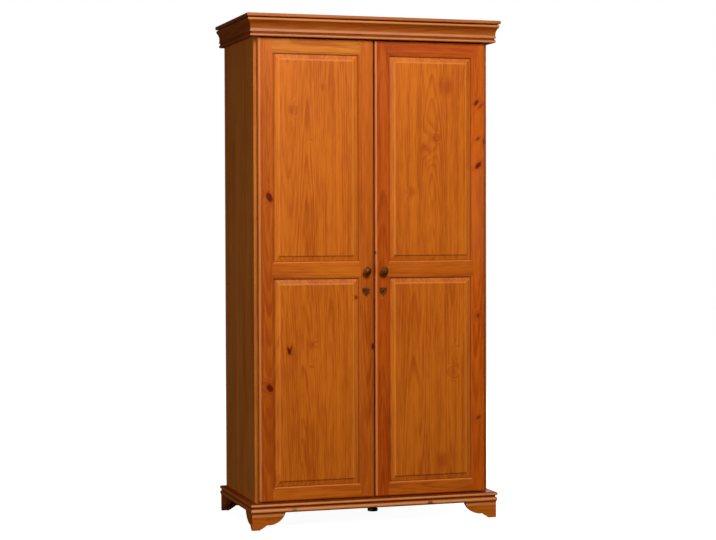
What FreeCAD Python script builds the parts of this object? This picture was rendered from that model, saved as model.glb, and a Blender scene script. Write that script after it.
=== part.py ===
import FreeCAD
import Part
import math
import os
from collections import namedtuple

# Two-door wardrobe in stained pine: lay-on frame-and-panel doors, mitred cornice and base, bracket feet.
# Millimetres. +Z is up, the doors face -Y, and the origin is on the floor under the middle of the whole box.

# Carcass
carcass_width = 946.0
carcass_depth = 492.0
side_thickness = 20.0
side_arris = 5.0
board_thickness = 16.0
back_thickness = 4.0
back_rebate_depth = 8.0
back_rebate_width = 8.0
back_fit = 0.4
strip_flange = 3.0
strip_width = 30.0
front_rail_depth = 40.0
rear_rail_depth = 30.0

# Heights, from the floor up
foot_height = 64.0
plinth_height = 36.0
door_end_gap = 4.0
door_height = 1757.0
cornice_height = 72.0
cap_thickness = 13.0

# Cornice: cap board, top bead, scotia, quirk and bottom bead
cap_overhang = 37.0
cap_arris = 3.0
cornice_bead_out = 33.0
cornice_bead_height = 12.0
cornice_top_quirk = 3.0
scotia_top_out = 30.0
scotia_hollow_out = 21.0
scotia_foot_out = 23.0
cornice_quirk_out = 18.0
cornice_quirk_height = 7.0
cornice_foot_out = 19.0
cornice_foot_bead = 11.0
cornice_foot_round = 3.0

# Base moulding: lower bead, quirk and upper bead
base_lower_bead = 17.0
base_lower_out = 26.0
base_quirk_height = 6.0
base_quirk_out = 20.0
base_upper_out = 27.0
base_bead_round = 4.0

# Bracket feet
foot_overhang = 22.0
bracket_thickness = 18.0
bracket_run = {"front": 131.0, "side": 105.0}
bracket_toe = {"front": 31.0, "side": 14.0}
bracket_cusp = {"front": 58.0, "side": 32.0}
bracket_cusp_height = 18.5
bracket_toe_rise = 2.0
bracket_bulge = {"front": 17.5, "side": 12.5}
bracket_hollow = 6.0
bracket_toe_hollow = 1.0
corner_block = 45.0
corner_block_lift = 34.0

# Centre foot: a screw foot under the front rail
centre_pad_radius = 20.0
centre_pad_height = 11.0
centre_pad_arris = 2.5
centre_pad_clearance = 43.0
centre_stem_radius = 4.0
centre_stem_length = 58.0
centre_stem_fit = 0.3
centre_foot_setback = 31.0

# Doors
door_thickness = 20.0
door_reveal = 12.0
door_arris = 7.0
door_back_arris = 3.0
rail_arris = 1.5
meeting_gap = 3.0
stile_width = 62.0
top_rail_height = 58.0
middle_rail_height = 66.0
bottom_rail_height = 53.0
middle_rail_rise = 877.5
ovolo_radius = 6.0
quirk_width = 2.0
quirk_depth = 1.0
groove_lip = 1.0
groove_width = 5.0
groove_depth = 9.0
tenon_end_gap = 0.5
panel_fit = 0.2
panel_edge_gap = 0.8
bevel_width = 21.0
field_step = 1.5
field_depth = 1.0

# Pivot hinges: pins on plates in the doors' ends, and bored plates above and below them
pivot_inset = 8.0
pivot_radius = 3.5
pivot_reach = 7.0
pivot_play = 0.1
pivot_bore_spare = 1.0
swing_clearance = 0.4
pivot_collar_radius = 5.5
pivot_collar_gap = 0.3
pivot_plate_length = 44.0
pivot_plate_width = 12.0
pivot_plate_thickness = 2.5

# Knobs and keyhole plates
knob_inset = 33.0
knob_rise = 873.0
knob_stud_radius = 2.5
knob_stud_length = 14.0
knob_bore_fit = 0.1
rose_radius = 10.0
rose_height = 2.5
rose_round = 1.2
rose_slope = 1.0
knob_neck_radius = 5.0
knob_neck_top = 11.0
knob_head_radius = 16.0
knob_rim_height = 19.0
knob_rim_half = 2.0
knob_hollow = 1.0
knob_height = 27.0
plate_rise = 794.0
plate_width = 29.0
plate_top = 17.0
plate_bottom = 19.0
plate_shoulder = 22.0
plate_shoulder_drop = 1.5
plate_scoop = 3.0
plate_waist = 9.0
plate_waist_drop = 9.0
plate_thickness = 2.2
plate_collar_radius = 5.5
plate_collar_height = 0.8
keyhole_radius = 2.4
keyhole_slot_width = 2.6
keyhole_slot_drop = 8.0
blind_keyhole_depth = 7.0

# Cut lock in the right door and its keep in the left door
lock_case_width = 42.0
lock_case_height = 60.0
lock_case_depth = 10.0
lock_bolt_height = 18.0
lock_bolt_thickness = 5.0
lock_bolt_length = 24.0
lock_bolt_recess = 0.4
lock_bolt_fit = 0.3
lock_bolt_travel = 9.0
keep_thickness = 1.5
keep_width = 9.0
keep_height = 44.0
keep_slot_fit = 0.8
keep_mortise_spare = 1.5

# Surface bolt on the back of the left door
bolt_inset = 24.0
bolt_radius = 3.5
bolt_length = 100.0
bolt_fit = 0.3
bolt_standoff = 10.0
bolt_rest_gap = 3.0
bolt_travel = 14.0
bolt_hole_spare = 1.5
bolt_peg_radius = 2.5
bolt_peg_reach = 13.0
bolt_peg_drop = 50.0
bolt_peg_ball = 4.0
guide_thickness = 1.5
guide_width = 24.0
guide_length = 90.0
guide_drop = 14.0
strap_width = 15.0
strap_height = 9.0
strap_wall = 2.0
strap_inset = 4.0

# Inside: hat shelf on battens, hanging rail in sockets
shelf_thickness = 15.0
hat_space = 249.0
shelf_setback = 40.0
shelf_fit = 0.5
batten_width = 20.0
batten_height = 30.0
batten_inset = 12.0
rail_radius = 12.5
rail_drop = 60.0
rail_fit = 0.2
rail_end_gap = 0.5
socket_flange_radius = 23.0
socket_flange = 4.0
socket_wall = 3.5
socket_length = 18.0
socket_floor = 2.0

# Levels and planes that follow
level_plinth = foot_height
level_floor = level_plinth + plinth_height
level_door = level_floor + door_end_gap
level_door_top = level_door + door_height
level_cornice = level_door_top + door_end_gap
level_cap = level_cornice + cornice_height
level_inside_floor = level_floor + board_thickness
level_inside_top = level_cornice - board_thickness
level_shelf = level_inside_top - hat_space - shelf_thickness
side_face = carcass_width / 2
inner_face = side_face - side_thickness
front_plane = (cap_overhang - carcass_depth) / 2
back_plane = front_plane + carcass_depth
door_back = front_plane + door_thickness
back_face = back_plane - back_rebate_depth
door_edge = side_face - door_reveal
meeting_edge = meeting_gap / 2
sticking_width = ovolo_radius + quirk_width
groove_front = ovolo_radius + quirk_depth + groove_lip
groove_back = groove_front + groove_width
pivot_x = door_edge - pivot_inset
pivot_y = front_plane + door_thickness / 2
arc_across = pivot_inset - door_back_arris
arc_back = door_back - pivot_y - door_back_arris
door_swing = math.hypot(arc_across, arc_back) + door_back_arris
board_front = pivot_y + door_swing + swing_clearance
knob_level = level_door + knob_rise
plate_level = level_door + plate_rise
knob_x = meeting_edge + knob_inset
cut_margin = 1.0

At = namedtuple("At", "a b")
Via = namedtuple("Via", "a b")
V = FreeCAD.Vector
UP = V(0, 0, 1)
ALONG = V(1, 0, 0)
INWARD = V(0, 1, 0)


def box(low, high):
    """Block between two opposite corners."""
    size = V(*high) - V(*low)
    return Part.makeBox(size.x, size.y, size.z, V(*low))


def profile_face(path, place):
    """Flat face inside a closed path of straight runs and arcs; an arc has a Via point between its ends."""
    edges = []
    here = path[0]
    bend = None
    for stop in path[1:] + path[:1]:
        if isinstance(stop, Via):
            bend = stop
            continue
        if bend is None:
            run = Part.LineSegment(place(*here), place(*stop))
        else:
            run = Part.Arc(place(*here), place(*bend), place(*stop))
        edges.append(run.toShape())
        here = stop
        bend = None
    return Part.Face(Part.Wire(edges))


def rounded(start, corner, end):
    """Middle of the quarter round that takes the place of a square corner."""
    share = 1 - math.sqrt(0.5)
    middle_a = corner.a + share * (start.a + end.a - 2 * corner.a)
    middle_b = corner.b + share * (start.b + end.b - 2 * corner.b)
    return Via(middle_a, middle_b)


def eased(start, corner, end):
    """Path stretch that goes round a corner on a quarter round."""
    return [start, rounded(start, corner, end), end]


def mirrored_path(path, axis):
    """The same path on the other side of a line a = axis, walked the other way."""
    return [type(stop)(2 * axis - stop.a, stop.b) for stop in reversed(path)]


def flipped(shape):
    """Mirror image on the other side of the wardrobe."""
    return shape.mirror(V(0, 0, 0), ALONG)


def upright(path, low, high):
    """Plan outline in X and Y raised from one level to another."""
    face = profile_face(path, lambda x, y: V(x, y, low))
    return face.extrude(UP * (high - low))


def wedge(corner, first, second, low, high):
    """Three-sided prism that saws a mitre."""
    return upright([At(*corner), At(*first), At(*second)], low - cut_margin, high + cut_margin)


def side_panel():
    """Left side, its outer front arris rounded and its back edge rebated for the back panel."""
    outer = At(-side_face, board_front + side_arris)
    outer_end = At(-side_face + side_arris, board_front)
    lip = -inner_face - back_rebate_width
    path = [At(-side_face, back_plane)]
    path += eased(outer, At(-side_face, board_front), outer_end)
    path += [At(-inner_face, board_front), At(-inner_face, back_face)]
    path += [At(lip, back_face), At(lip, back_plane)]
    return upright(path, level_plinth, level_cap)


def top_panel():
    """Roof of the inside, bored for the surface bolt."""
    board = box((-inner_face, board_front, level_inside_top), (inner_face, back_face, level_cornice))
    depth = bolt_travel - bolt_rest_gap + bolt_hole_spare
    hole = Part.makeCylinder(bolt_radius + bolt_fit, depth, bolt_axis_point(level_inside_top))
    return board.cut(hole)


def bottom_panel():
    """Floor of the inside, bored from below for the screw foot's stem."""
    board = box((-inner_face, board_front, level_floor), (inner_face, back_face, level_inside_floor))
    return board.cut(centre_stem_bore())


def back_panel():
    """Left half of the thin back, held in the side's rebate and the joining strip."""
    outer = -inner_face - back_rebate_width + back_fit
    low = (outer, back_face, level_plinth + back_fit)
    return box(low, (-strip_flange / 2 - back_fit, back_face + back_thickness, level_cap - back_fit))


def back_joining_strip():
    """Upright strip of H section between the two back panels."""
    low = level_inside_floor + back_fit
    high = level_inside_top - back_fit
    half = strip_width / 2
    inside = box((-half, back_face - strip_flange, low), (half, back_face, high))
    web = box((-strip_flange / 2, back_face, low), (strip_flange / 2, back_face + back_thickness, high))
    outside_back = back_face + back_thickness + strip_flange
    outside = box((-half, back_face + back_thickness, low), (half, outside_back, high))
    return inside.fuse([web, outside]).removeSplitter()


def cap_board():
    """Top board with softened edges, flush with the back."""
    reach = side_face + cap_overhang
    low = (-reach, front_plane - cap_overhang, level_cap)
    board = box(low, (reach, back_plane, level_cap + cap_thickness))
    shown = []
    for edge in board.Edges:
        middle = edge.CenterOfMass
        level_edge = abs(edge.BoundBox.ZLength) < cut_margin
        if level_edge and middle.y < back_plane - cut_margin:
            shown.append(edge)
    return board.makeFillet(cap_arris, shown)


def cornice_path():
    """Cornice section, out from the carcass and up from its foot."""
    quirk_top = cornice_foot_bead + cornice_quirk_height
    bead_top = cornice_height - cornice_top_quirk
    bead_low = bead_top - cornice_bead_height
    hollow = Via(scotia_hollow_out, (quirk_top + bead_low) / 2)
    foot = cornice_foot_out + cornice_foot_round
    path = [At(0, 0), At(cornice_foot_out, 0)]
    path += [Via(foot, cornice_foot_bead / 2), At(cornice_foot_out, cornice_foot_bead)]
    path += [At(cornice_quirk_out, cornice_foot_bead), At(cornice_quirk_out, quirk_top)]
    path += [At(scotia_foot_out, quirk_top), hollow, At(scotia_top_out, bead_low)]
    path += [Via(cornice_bead_out, (bead_low + bead_top) / 2), At(scotia_top_out, bead_top)]
    path += [At(cornice_quirk_out, bead_top), At(cornice_quirk_out, cornice_height), At(0, cornice_height)]
    return path


def base_path():
    """Base moulding section, out from the carcass and up from its foot."""
    quirk_top = base_lower_bead + base_quirk_height
    lower = base_lower_out - base_bead_round
    upper = base_upper_out - base_bead_round
    path = [At(0, 0), At(lower, 0), Via(base_lower_out, base_lower_bead / 2), At(lower, base_lower_bead)]
    path += [At(base_quirk_out, base_lower_bead), At(base_quirk_out, quirk_top), At(upper, quirk_top)]
    path += [Via(base_upper_out, (quirk_top + plinth_height) / 2), At(upper, plinth_height)]
    path += [At(0, plinth_height)]
    return path


def mitred_mouldings(path, low, high):
    """Front and left lengths of a moulding, sawn to a mitre at the front corners."""
    reach = max(stop.a for stop in path) + cut_margin
    corner = (-side_face, front_plane)
    far = (-side_face - reach, front_plane - reach)
    front = profile_face(path, lambda out, up: V(-side_face - reach, front_plane - out, low + up))
    front = front.extrude(ALONG * (2 * (side_face + reach)))
    left = profile_face(path, lambda out, up: V(-side_face - out, front_plane - reach, low + up))
    left = left.extrude(INWARD * (carcass_depth + reach))
    front_waste = wedge(corner, far, (far[0] - cut_margin, front_plane + cut_margin), low, high)
    left_waste = wedge(corner, far, (-side_face + cut_margin, far[1] - cut_margin), low, high)
    return front.cut([front_waste, flipped(front_waste)]), left.cut(left_waste)


def bracket_path(face):
    """Sawn outline of a foot bracket: toe, small hollow, cusp, and the long hollow up to its tip."""
    run = bracket_run[face]
    toe = bracket_toe[face]
    cusp = bracket_cusp[face]
    small = Via((toe + cusp) / 2, (bracket_toe_rise + bracket_cusp_height) / 2 - bracket_toe_hollow)
    long_a = (cusp + run) / 2 + bracket_bulge[face]
    long_b = (bracket_cusp_height + foot_height) / 2 - bracket_hollow
    path = [At(0, 0), At(toe, 0), At(toe, bracket_toe_rise), small, At(cusp, bracket_cusp_height)]
    path += [Via(long_a, long_b), At(run, foot_height), At(0, foot_height)]
    return path


def front_left_foot():
    """Front and side brackets of one foot, mitred at the outer corner, and the block behind them."""
    x = -side_face - foot_overhang
    y = front_plane - foot_overhang
    front = profile_face(bracket_path("front"), lambda run, up: V(x + run, y, up))
    front = front.extrude(INWARD * bracket_thickness)
    side = profile_face(bracket_path("side"), lambda run, up: V(x, y + run, up))
    side = side.extrude(ALONG * bracket_thickness)
    saw = bracket_thickness + cut_margin
    far = (x + saw, y + saw)
    front = front.cut(wedge((x, y), far, (x - cut_margin, y + saw), 0, foot_height))
    side = side.cut(wedge((x, y), far, (x + saw, y - cut_margin), 0, foot_height))
    low = (x + bracket_thickness, y + bracket_thickness, corner_block_lift)
    high = (low[0] + corner_block, low[1] + corner_block, foot_height)
    return front, side, box(low, high)


def to_rear(shape):
    """Mirror image of a front foot, its outer face flush with the back."""
    middle = (front_plane - foot_overhang + back_plane) / 2
    return shape.mirror(V(0, middle, 0), INWARD)


def centre_foot_axis(level):
    """Point on the screw foot's axis."""
    return V(0, front_plane + centre_foot_setback, level)


def centre_stem_bore():
    """Hole for the screw foot's stem, up from the underside."""
    top = centre_pad_clearance + centre_pad_height + centre_stem_length + centre_stem_fit
    low = level_plinth - cut_margin
    return Part.makeCylinder(centre_stem_radius + centre_stem_fit, top - low, centre_foot_axis(low))


def centre_foot():
    """Round pad on a stem, turned about its axis."""
    radius = centre_pad_radius
    top = centre_pad_height
    path = [At(0, 0)]
    path += eased(At(radius - centre_pad_arris, 0), At(radius, 0), At(radius, centre_pad_arris))
    path += eased(At(radius, top - centre_pad_arris), At(radius, top), At(radius - centre_pad_arris, top))
    path += [At(centre_stem_radius, top), At(centre_stem_radius, top + centre_stem_length)]
    path += [At(0, top + centre_stem_length)]
    axis = centre_foot_axis(centre_pad_clearance)
    return profile_face(path, lambda out, up: axis + V(out, 0, up)).revolve(axis, UP, 360)


def front_plinth_rail():
    """Rail behind the front base moulding, lapped over the sides; it carries the floor's front edge."""
    lap = box((-side_face, front_plane, level_plinth), (side_face, board_front, level_floor))
    high = (inner_face, front_plane + front_rail_depth, level_floor)
    rail = lap.fuse(box((-inner_face, board_front, level_plinth), high)).removeSplitter()
    return rail.cut([centre_stem_bore(), to_bottom(pivot_bed()), flipped(to_bottom(pivot_bed()))])


def header_rail():
    """Rail behind the front cornice, lapped over the sides."""
    rail = box((-side_face, front_plane, level_cornice), (side_face, board_front, level_cap))
    return rail.cut([pivot_bed(), flipped(pivot_bed())])


def outer_edge(front, back):
    """Back-to-front path of a door member's outer edge, with both arrises rounded."""
    rear = door_thickness - back
    path = eased(At(back, door_thickness), At(0, door_thickness), At(0, rear))
    return path + eased(At(0, front), At(0, 0), At(front, 0))


def stuck_edge():
    """Back-to-front path of an inner edge: panel groove, then the ovolo and its quirk."""
    nose = At(0, ovolo_radius + quirk_depth)
    path = [At(0, door_thickness), At(0, groove_back), At(groove_depth, groove_back)]
    path += [At(groove_depth, groove_front), At(0, groove_front)]
    path += eased(nose, At(0, quirk_depth), At(ovolo_radius, quirk_depth))
    path += [At(sticking_width, quirk_depth), At(sticking_width, 0)]
    return path


def door_stile(edge, turn):
    """Stile with its outer edge at X = edge, its width running along turn."""
    path = outer_edge(door_arris, door_back_arris) + mirrored_path(stuck_edge(), stile_width / 2)
    face = profile_face(path, lambda across, back: V(edge + turn * across, front_plane + back, level_door))
    return face.extrude(UP * door_height)


def door_rail(low, high, low_edge, high_edge, stiles):
    """Rail between two levels, its ends scribed and tenoned to the stiles."""
    path = low_edge + mirrored_path(high_edge, (high - low) / 2)
    tenon = stile_width - groove_depth + tenon_end_gap
    start = -door_edge + tenon
    face = profile_face(path, lambda across, back: V(start, front_plane + back, low + across))
    length = door_edge - meeting_edge - 2 * tenon
    return face.extrude(ALONG * length).cut(stiles)


def raised_panel(low, high):
    """Panel with a thin edge in the grooves and a bevel up to its field; low and high are the sight edges."""

    def rectangle(back, inset):
        y = front_plane + back
        left = -door_edge + stile_width + inset
        right = -meeting_edge - stile_width - inset
        corners = [V(left, y, low + inset), V(right, y, low + inset)]
        corners += [V(right, y, high - inset), V(left, y, high - inset)]
        return Part.makePolygon(corners + corners[:1])

    front = groove_front + panel_fit
    thickness = groove_back - panel_fit - front
    step = field_depth + field_step
    edge = Part.Face(rectangle(front, panel_edge_gap - groove_depth)).extrude(INWARD * thickness)
    bevel = Part.makeLoft([rectangle(front, 0), rectangle(step, bevel_width)], True, True)
    field = Part.Face(rectangle(field_depth, bevel_width)).extrude(INWARD * field_step)
    return edge.fuse([bevel, field]).removeSplitter()


def door_frame():
    """Wooden pieces of the left door, before its fittings are let in."""
    hinge_stile = door_stile(-door_edge, 1)
    pivots = [pivot_plate(level_door_top - pivot_plate_thickness)]
    pivots.append(to_bottom(pivots[0]))
    meeting_stile = door_stile(-meeting_edge, -1)
    stiles = [hinge_stile, meeting_stile]
    bottom_high = level_door + bottom_rail_height
    middle_low = level_door + middle_rail_rise - middle_rail_height / 2
    middle_high = middle_low + middle_rail_height
    top_low = level_door_top - top_rail_height
    plain = outer_edge(rail_arris, rail_arris)
    return {
        "hinge_stile": hinge_stile.cut(pivots),
        "meeting_stile": meeting_stile,
        "bottom_rail": door_rail(level_door, bottom_high, plain, stuck_edge(), stiles),
        "middle_rail": door_rail(middle_low, middle_high, stuck_edge(), stuck_edge(), stiles),
        "top_rail": door_rail(top_low, level_door_top, stuck_edge(), plain, stiles),
        "lower_panel": raised_panel(bottom_high, middle_low),
        "upper_panel": raised_panel(middle_high, top_low),
    }


def to_bottom(shape):
    """Mirror image of a top pivot's piece at the door's foot."""
    middle = (level_floor + level_cornice) / 2
    return shape.mirror(V(0, 0, middle), UP)


def pivot_plate(low):
    """Plate of the left door's top pivot, up from a level."""
    half = pivot_plate_width / 2
    start = -pivot_x - half
    high = (start + pivot_plate_length, pivot_y + half, low + pivot_plate_thickness)
    return box((start, pivot_y - half, low), high)


def pivot_rod(radius, low, height):
    """Upright cylinder on the left door's pivot axis."""
    return Part.makeCylinder(radius, height, V(-pivot_x, pivot_y, low))


def door_pivot():
    """Plate in the left door's top end, with a collar and the pin that it turns on."""
    pin = pivot_rod(pivot_radius, level_door_top, door_end_gap + pivot_reach)
    collar = pivot_rod(pivot_collar_radius, level_door_top, door_end_gap - pivot_collar_gap)
    return pivot_plate(level_door_top - pivot_plate_thickness).fuse([pin, collar]).removeSplitter()


def pivot_socket():
    """Bored plate in the header's underside that holds the pin."""
    return pivot_plate(level_cornice).cut(pivot_rod(pivot_radius + pivot_play, level_cornice, pivot_reach))


def pivot_bed():
    """Room in the header for the bored plate and the pin's end."""
    bore = pivot_rod(pivot_radius + pivot_play, level_cornice, pivot_reach + pivot_bore_spare)
    return pivot_plate(level_cornice).fuse(bore).removeSplitter()


def domed(edge, top):
    """Middle of the arc from an edge up to a top on the axis, its centre on the axis too."""
    rise = top.b - edge.b
    radius = (edge.a ** 2 + rise ** 2) / (2 * rise)
    lean = math.asin(edge.a / radius) / 2
    return Via(radius * math.sin(lean), top.b - radius + radius * math.cos(lean))


def left_knob():
    """Turned knob on a rose, with a stud back into the stile."""
    rim = knob_head_radius - knob_rim_half
    rim_low = At(rim, knob_rim_height - knob_rim_half)
    rim_high = At(rim, knob_rim_height + knob_rim_half)
    top = At(0, knob_height)
    shoulder = At(rose_radius - rose_round, rose_height)
    path = [At(0, -knob_stud_length), At(knob_stud_radius, -knob_stud_length), At(knob_stud_radius, 0)]
    path += [At(rose_radius, 0)]
    path += eased(At(rose_radius, rose_height - rose_round), At(rose_radius, rose_height), shoulder)
    path += [At(knob_neck_radius, rose_height + rose_slope), At(knob_neck_radius, knob_neck_top)]
    path += [Via((knob_neck_radius + rim) / 2, (knob_neck_top + rim_low.b) / 2 - knob_hollow), rim_low]
    path += [Via(knob_head_radius, knob_rim_height), rim_high, domed(rim_high, top), top]
    centre = V(-knob_x, front_plane, knob_level)
    return profile_face(path, lambda out, proud: centre + V(out, -proud, 0)).revolve(centre, INWARD, 360)


def knob_bore():
    """Hole in the left meeting stile for the knob's stud."""
    mouth = V(-knob_x, front_plane, knob_level)
    depth = knob_stud_length + knob_bore_fit
    return Part.makeCylinder(knob_stud_radius + knob_bore_fit, depth, mouth, INWARD)


def left_keyhole_plate():
    """Shield-shaped keyhole plate with a collar round the keyhole."""
    shoulder = At(plate_shoulder / 2, plate_top - plate_shoulder_drop)
    waist = At(plate_waist, -plate_waist_drop)
    half = [At(0, plate_top), Via(shoulder.a / 2, shoulder.b - plate_scoop), shoulder]
    half += [Via(plate_width / 2, (shoulder.b + waist.b) / 2), waist]
    half += [Via(waist.a / 2, (waist.b - plate_bottom) / 2 + plate_scoop / 2), At(0, -plate_bottom)]
    path = half + mirrored_path(half, 0)[1:-1]
    centre = V(-knob_x, front_plane, plate_level)
    plate = profile_face(path, lambda across, up: centre + V(across, 0, up))
    plate = plate.extrude(INWARD * -plate_thickness)
    proud = plate_thickness + plate_collar_height
    collar = Part.makeCylinder(plate_collar_radius, proud, centre, INWARD * -1)
    hole = Part.makeCylinder(keyhole_radius, proud, centre, INWARD * -1)
    slot_low = centre + V(-keyhole_slot_width / 2, -proud, -keyhole_slot_drop)
    slot = Part.makeBox(keyhole_slot_width, proud, keyhole_slot_drop, slot_low)
    return plate.fuse(collar).removeSplitter().cut([hole, slot])


def key_bore(depth):
    """Hole in the left meeting stile behind the keyhole plate."""
    return Part.makeCylinder(keyhole_radius, depth, V(-knob_x, front_plane, plate_level), INWARD)


def lock_block():
    """Space of the lock case in the right meeting stile, let in from its back and edge."""
    half = lock_case_height / 2
    low = (meeting_edge, door_back - lock_case_depth, plate_level - half)
    return box(low, (meeting_edge + lock_case_width, door_back, plate_level + half))


def lock_bolt_block(start, length, fit):
    """Bolt-shaped block from X = start, grown by fit on its sides."""
    middle = door_back - lock_case_depth / 2
    across = lock_bolt_thickness / 2 + fit
    half = lock_bolt_height / 2 + fit
    low = (start, middle - across, plate_level - half)
    return box(low, (start + length, middle + across, plate_level + half))


def lock_bolt():
    """Sliding bolt, drawn back into the case."""
    return lock_bolt_block(meeting_edge + lock_bolt_recess, lock_bolt_length, 0)


def lock_case():
    """Lock case with the bolt's channel and the key's hole."""
    channel_length = lock_bolt_recess + lock_bolt_length + lock_bolt_fit
    channel = lock_bolt_block(meeting_edge, channel_length, lock_bolt_fit)
    mouth = V(knob_x, door_back - lock_case_depth, plate_level)
    key = Part.makeCylinder(keyhole_radius, lock_case_depth / 2, mouth, INWARD)
    return lock_block().cut([channel, key])


def keep_plate():
    """Plain plate in the left door's meeting edge, opposite the lock."""
    middle = door_back - lock_case_depth / 2
    half = keep_height / 2
    low = (-meeting_edge - keep_thickness, middle - keep_width / 2, plate_level - half)
    return box(low, (-meeting_edge, middle + keep_width / 2, plate_level + half))


def keep_mortise():
    """Pocket in the left meeting stile that the lock bolt enters."""
    depth = lock_bolt_travel - meeting_gap + keep_mortise_spare
    return lock_bolt_block(-meeting_edge - depth, depth, keep_slot_fit)


def bolt_axis_point(level):
    """Point on the surface bolt's axis."""
    return V(-meeting_edge - bolt_inset, door_back + bolt_standoff, level)


def surface_bolt():
    """Round rod with a finger peg, drawn down clear of the roof."""
    top = level_inside_top - bolt_rest_gap
    rod = Part.makeCylinder(bolt_radius, bolt_length, bolt_axis_point(top - bolt_length))
    seat = bolt_axis_point(top - bolt_peg_drop)
    peg = Part.makeCylinder(bolt_peg_radius, bolt_peg_reach, seat, INWARD)
    ball = Part.makeSphere(bolt_peg_ball, seat + INWARD * bolt_peg_reach)
    return rod.fuse([peg, ball]).removeSplitter()


def bolt_guide():
    """Plate on the left door's back with two straps that guide the rod."""
    axis = bolt_axis_point(0)
    high = level_inside_top - guide_drop
    low = high - guide_length
    plate_back = door_back + guide_thickness
    plate = box((axis.x - guide_width / 2, door_back, low), (axis.x + guide_width / 2, plate_back, high))
    strap_back = axis.y + bolt_radius + bolt_fit + strap_wall
    straps = []
    for foot in (low + strap_inset, high - strap_inset - strap_height):
        corner = (axis.x - strap_width / 2, plate_back, foot)
        straps.append(box(corner, (axis.x + strap_width / 2, strap_back, foot + strap_height)))
    bore = Part.makeCylinder(bolt_radius + bolt_fit, guide_length, bolt_axis_point(low))
    return plate.fuse(straps).removeSplitter().cut(bore)


def hat_shelf():
    """Shelf above the hanging rail, clear of the joining strip."""
    low = (-inner_face + shelf_fit, board_front + shelf_setback, level_shelf)
    back = back_face - strip_flange - shelf_fit
    return box(low, (inner_face - shelf_fit, back, level_shelf + shelf_thickness))


def shelf_batten():
    """Left batten that carries the shelf."""
    low = (-inner_face, board_front + shelf_setback + batten_inset, level_shelf - batten_height)
    back = back_face - strip_flange - shelf_fit - batten_inset
    return box(low, (-inner_face + batten_width, back, level_shelf))


def hanging_rail():
    """Turned pole across the inside."""
    reach = inner_face - socket_floor - rail_end_gap
    return Part.makeCylinder(rail_radius, 2 * reach, rail_axis_point(-reach), ALONG)


def rail_axis_point(x):
    """Point on the hanging rail's axis."""
    return V(x, (board_front + back_face) / 2, level_shelf - rail_drop)


def rail_socket():
    """Left flanged cup for the end of the hanging rail."""
    bore = rail_radius + rail_fit
    wall = bore + socket_wall
    path = [At(0, 0), At(0, socket_flange_radius), At(socket_flange, socket_flange_radius)]
    path += [At(socket_flange, wall), At(socket_length, wall), At(socket_length, bore)]
    path += [At(socket_floor, bore), At(socket_floor, 0)]
    axis = rail_axis_point(-inner_face)
    return profile_face(path, lambda along, out: axis + V(along, 0, out)).revolve(axis, ALONG, 360)


def fitted_doors():
    """Wooden pieces of both doors, bored and let in for their fittings."""
    left = door_frame()
    right = {name: flipped(shape) for name, shape in left.items()}
    left_cuts = [knob_bore(), key_bore(blind_keyhole_depth), keep_mortise(), keep_plate()]
    right_cuts = [flipped(knob_bore()), flipped(key_bore(door_thickness)), lock_block()]
    left["meeting_stile"] = left["meeting_stile"].cut(left_cuts)
    right["meeting_stile"] = right["meeting_stile"].cut(right_cuts)
    pieces = {"left_" + name: shape for name, shape in left.items()}
    pieces.update({"right_" + name: shape for name, shape in right.items()})
    return pieces


def carcass():
    """Boards, rails and inside fittings of the carcass."""
    batten = shelf_batten()
    socket = rail_socket()
    rear_low = (-inner_face, back_face - rear_rail_depth, level_plinth)
    return {
        "left_side_panel": side_panel(),
        "right_side_panel": flipped(side_panel()),
        "top_panel": top_panel(),
        "bottom_panel": bottom_panel(),
        "left_back_panel": back_panel(),
        "right_back_panel": flipped(back_panel()),
        "back_joining_strip": back_joining_strip(),
        "header_rail": header_rail(),
        "front_plinth_rail": front_plinth_rail(),
        "rear_plinth_rail": box(rear_low, (inner_face, back_face, level_floor)),
        "cap_board": cap_board(),
        "hat_shelf": hat_shelf(),
        "shelf_battens": Part.makeCompound([batten, flipped(batten)]),
        "hanging_rail": hanging_rail(),
        "rail_sockets": Part.makeCompound([socket, flipped(socket)]),
        "centre_foot": centre_foot(),
    }


def mouldings():
    """Cornice and base mouldings."""
    cornice_front, cornice_left = mitred_mouldings(cornice_path(), level_cornice, level_cap)
    base_front, base_left = mitred_mouldings(base_path(), level_plinth, level_floor)
    return {
        "front_cornice": cornice_front,
        "left_cornice": cornice_left,
        "right_cornice": flipped(cornice_left),
        "front_base_moulding": base_front,
        "left_base_moulding": base_left,
        "right_base_moulding": flipped(base_left),
    }


def feet():
    """Brackets of the four feet and the blocks behind them."""
    front, side, block = front_left_foot()
    pieces = {"front_left_foot_face": front, "front_left_foot_return": side}
    pieces["rear_left_foot_face"] = to_rear(front)
    pieces["rear_left_foot_return"] = to_rear(side)
    for name, shape in list(pieces.items()):
        pieces[name.replace("left", "right")] = flipped(shape)
    blocks = [block, to_rear(block), flipped(block), flipped(to_rear(block))]
    pieces["foot_corner_blocks"] = Part.makeCompound(blocks)
    return pieces


def pivots():
    """Pins of both doors and the bored plates that hold them."""
    pins = Part.makeCompound([door_pivot(), to_bottom(door_pivot())])
    sockets = [pivot_socket(), to_bottom(pivot_socket())]
    sockets += [flipped(socket) for socket in sockets]
    return {
        "left_door_pivots": pins,
        "right_door_pivots": flipped(pins),
        "pivot_sockets": Part.makeCompound(sockets),
    }


def door_fittings():
    """Knobs, keyhole plates, lock and surface bolt."""
    return {
        "left_knob": left_knob(),
        "right_knob": flipped(left_knob()),
        "left_keyhole_plate": left_keyhole_plate(),
        "right_keyhole_plate": flipped(left_keyhole_plate()),
        "lock_case": lock_case(),
        "lock_bolt": lock_bolt(),
        "lock_keep": keep_plate().cut(keep_mortise()),
        "bolt_guide": bolt_guide(),
        "surface_bolt": surface_bolt(),
    }


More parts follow.
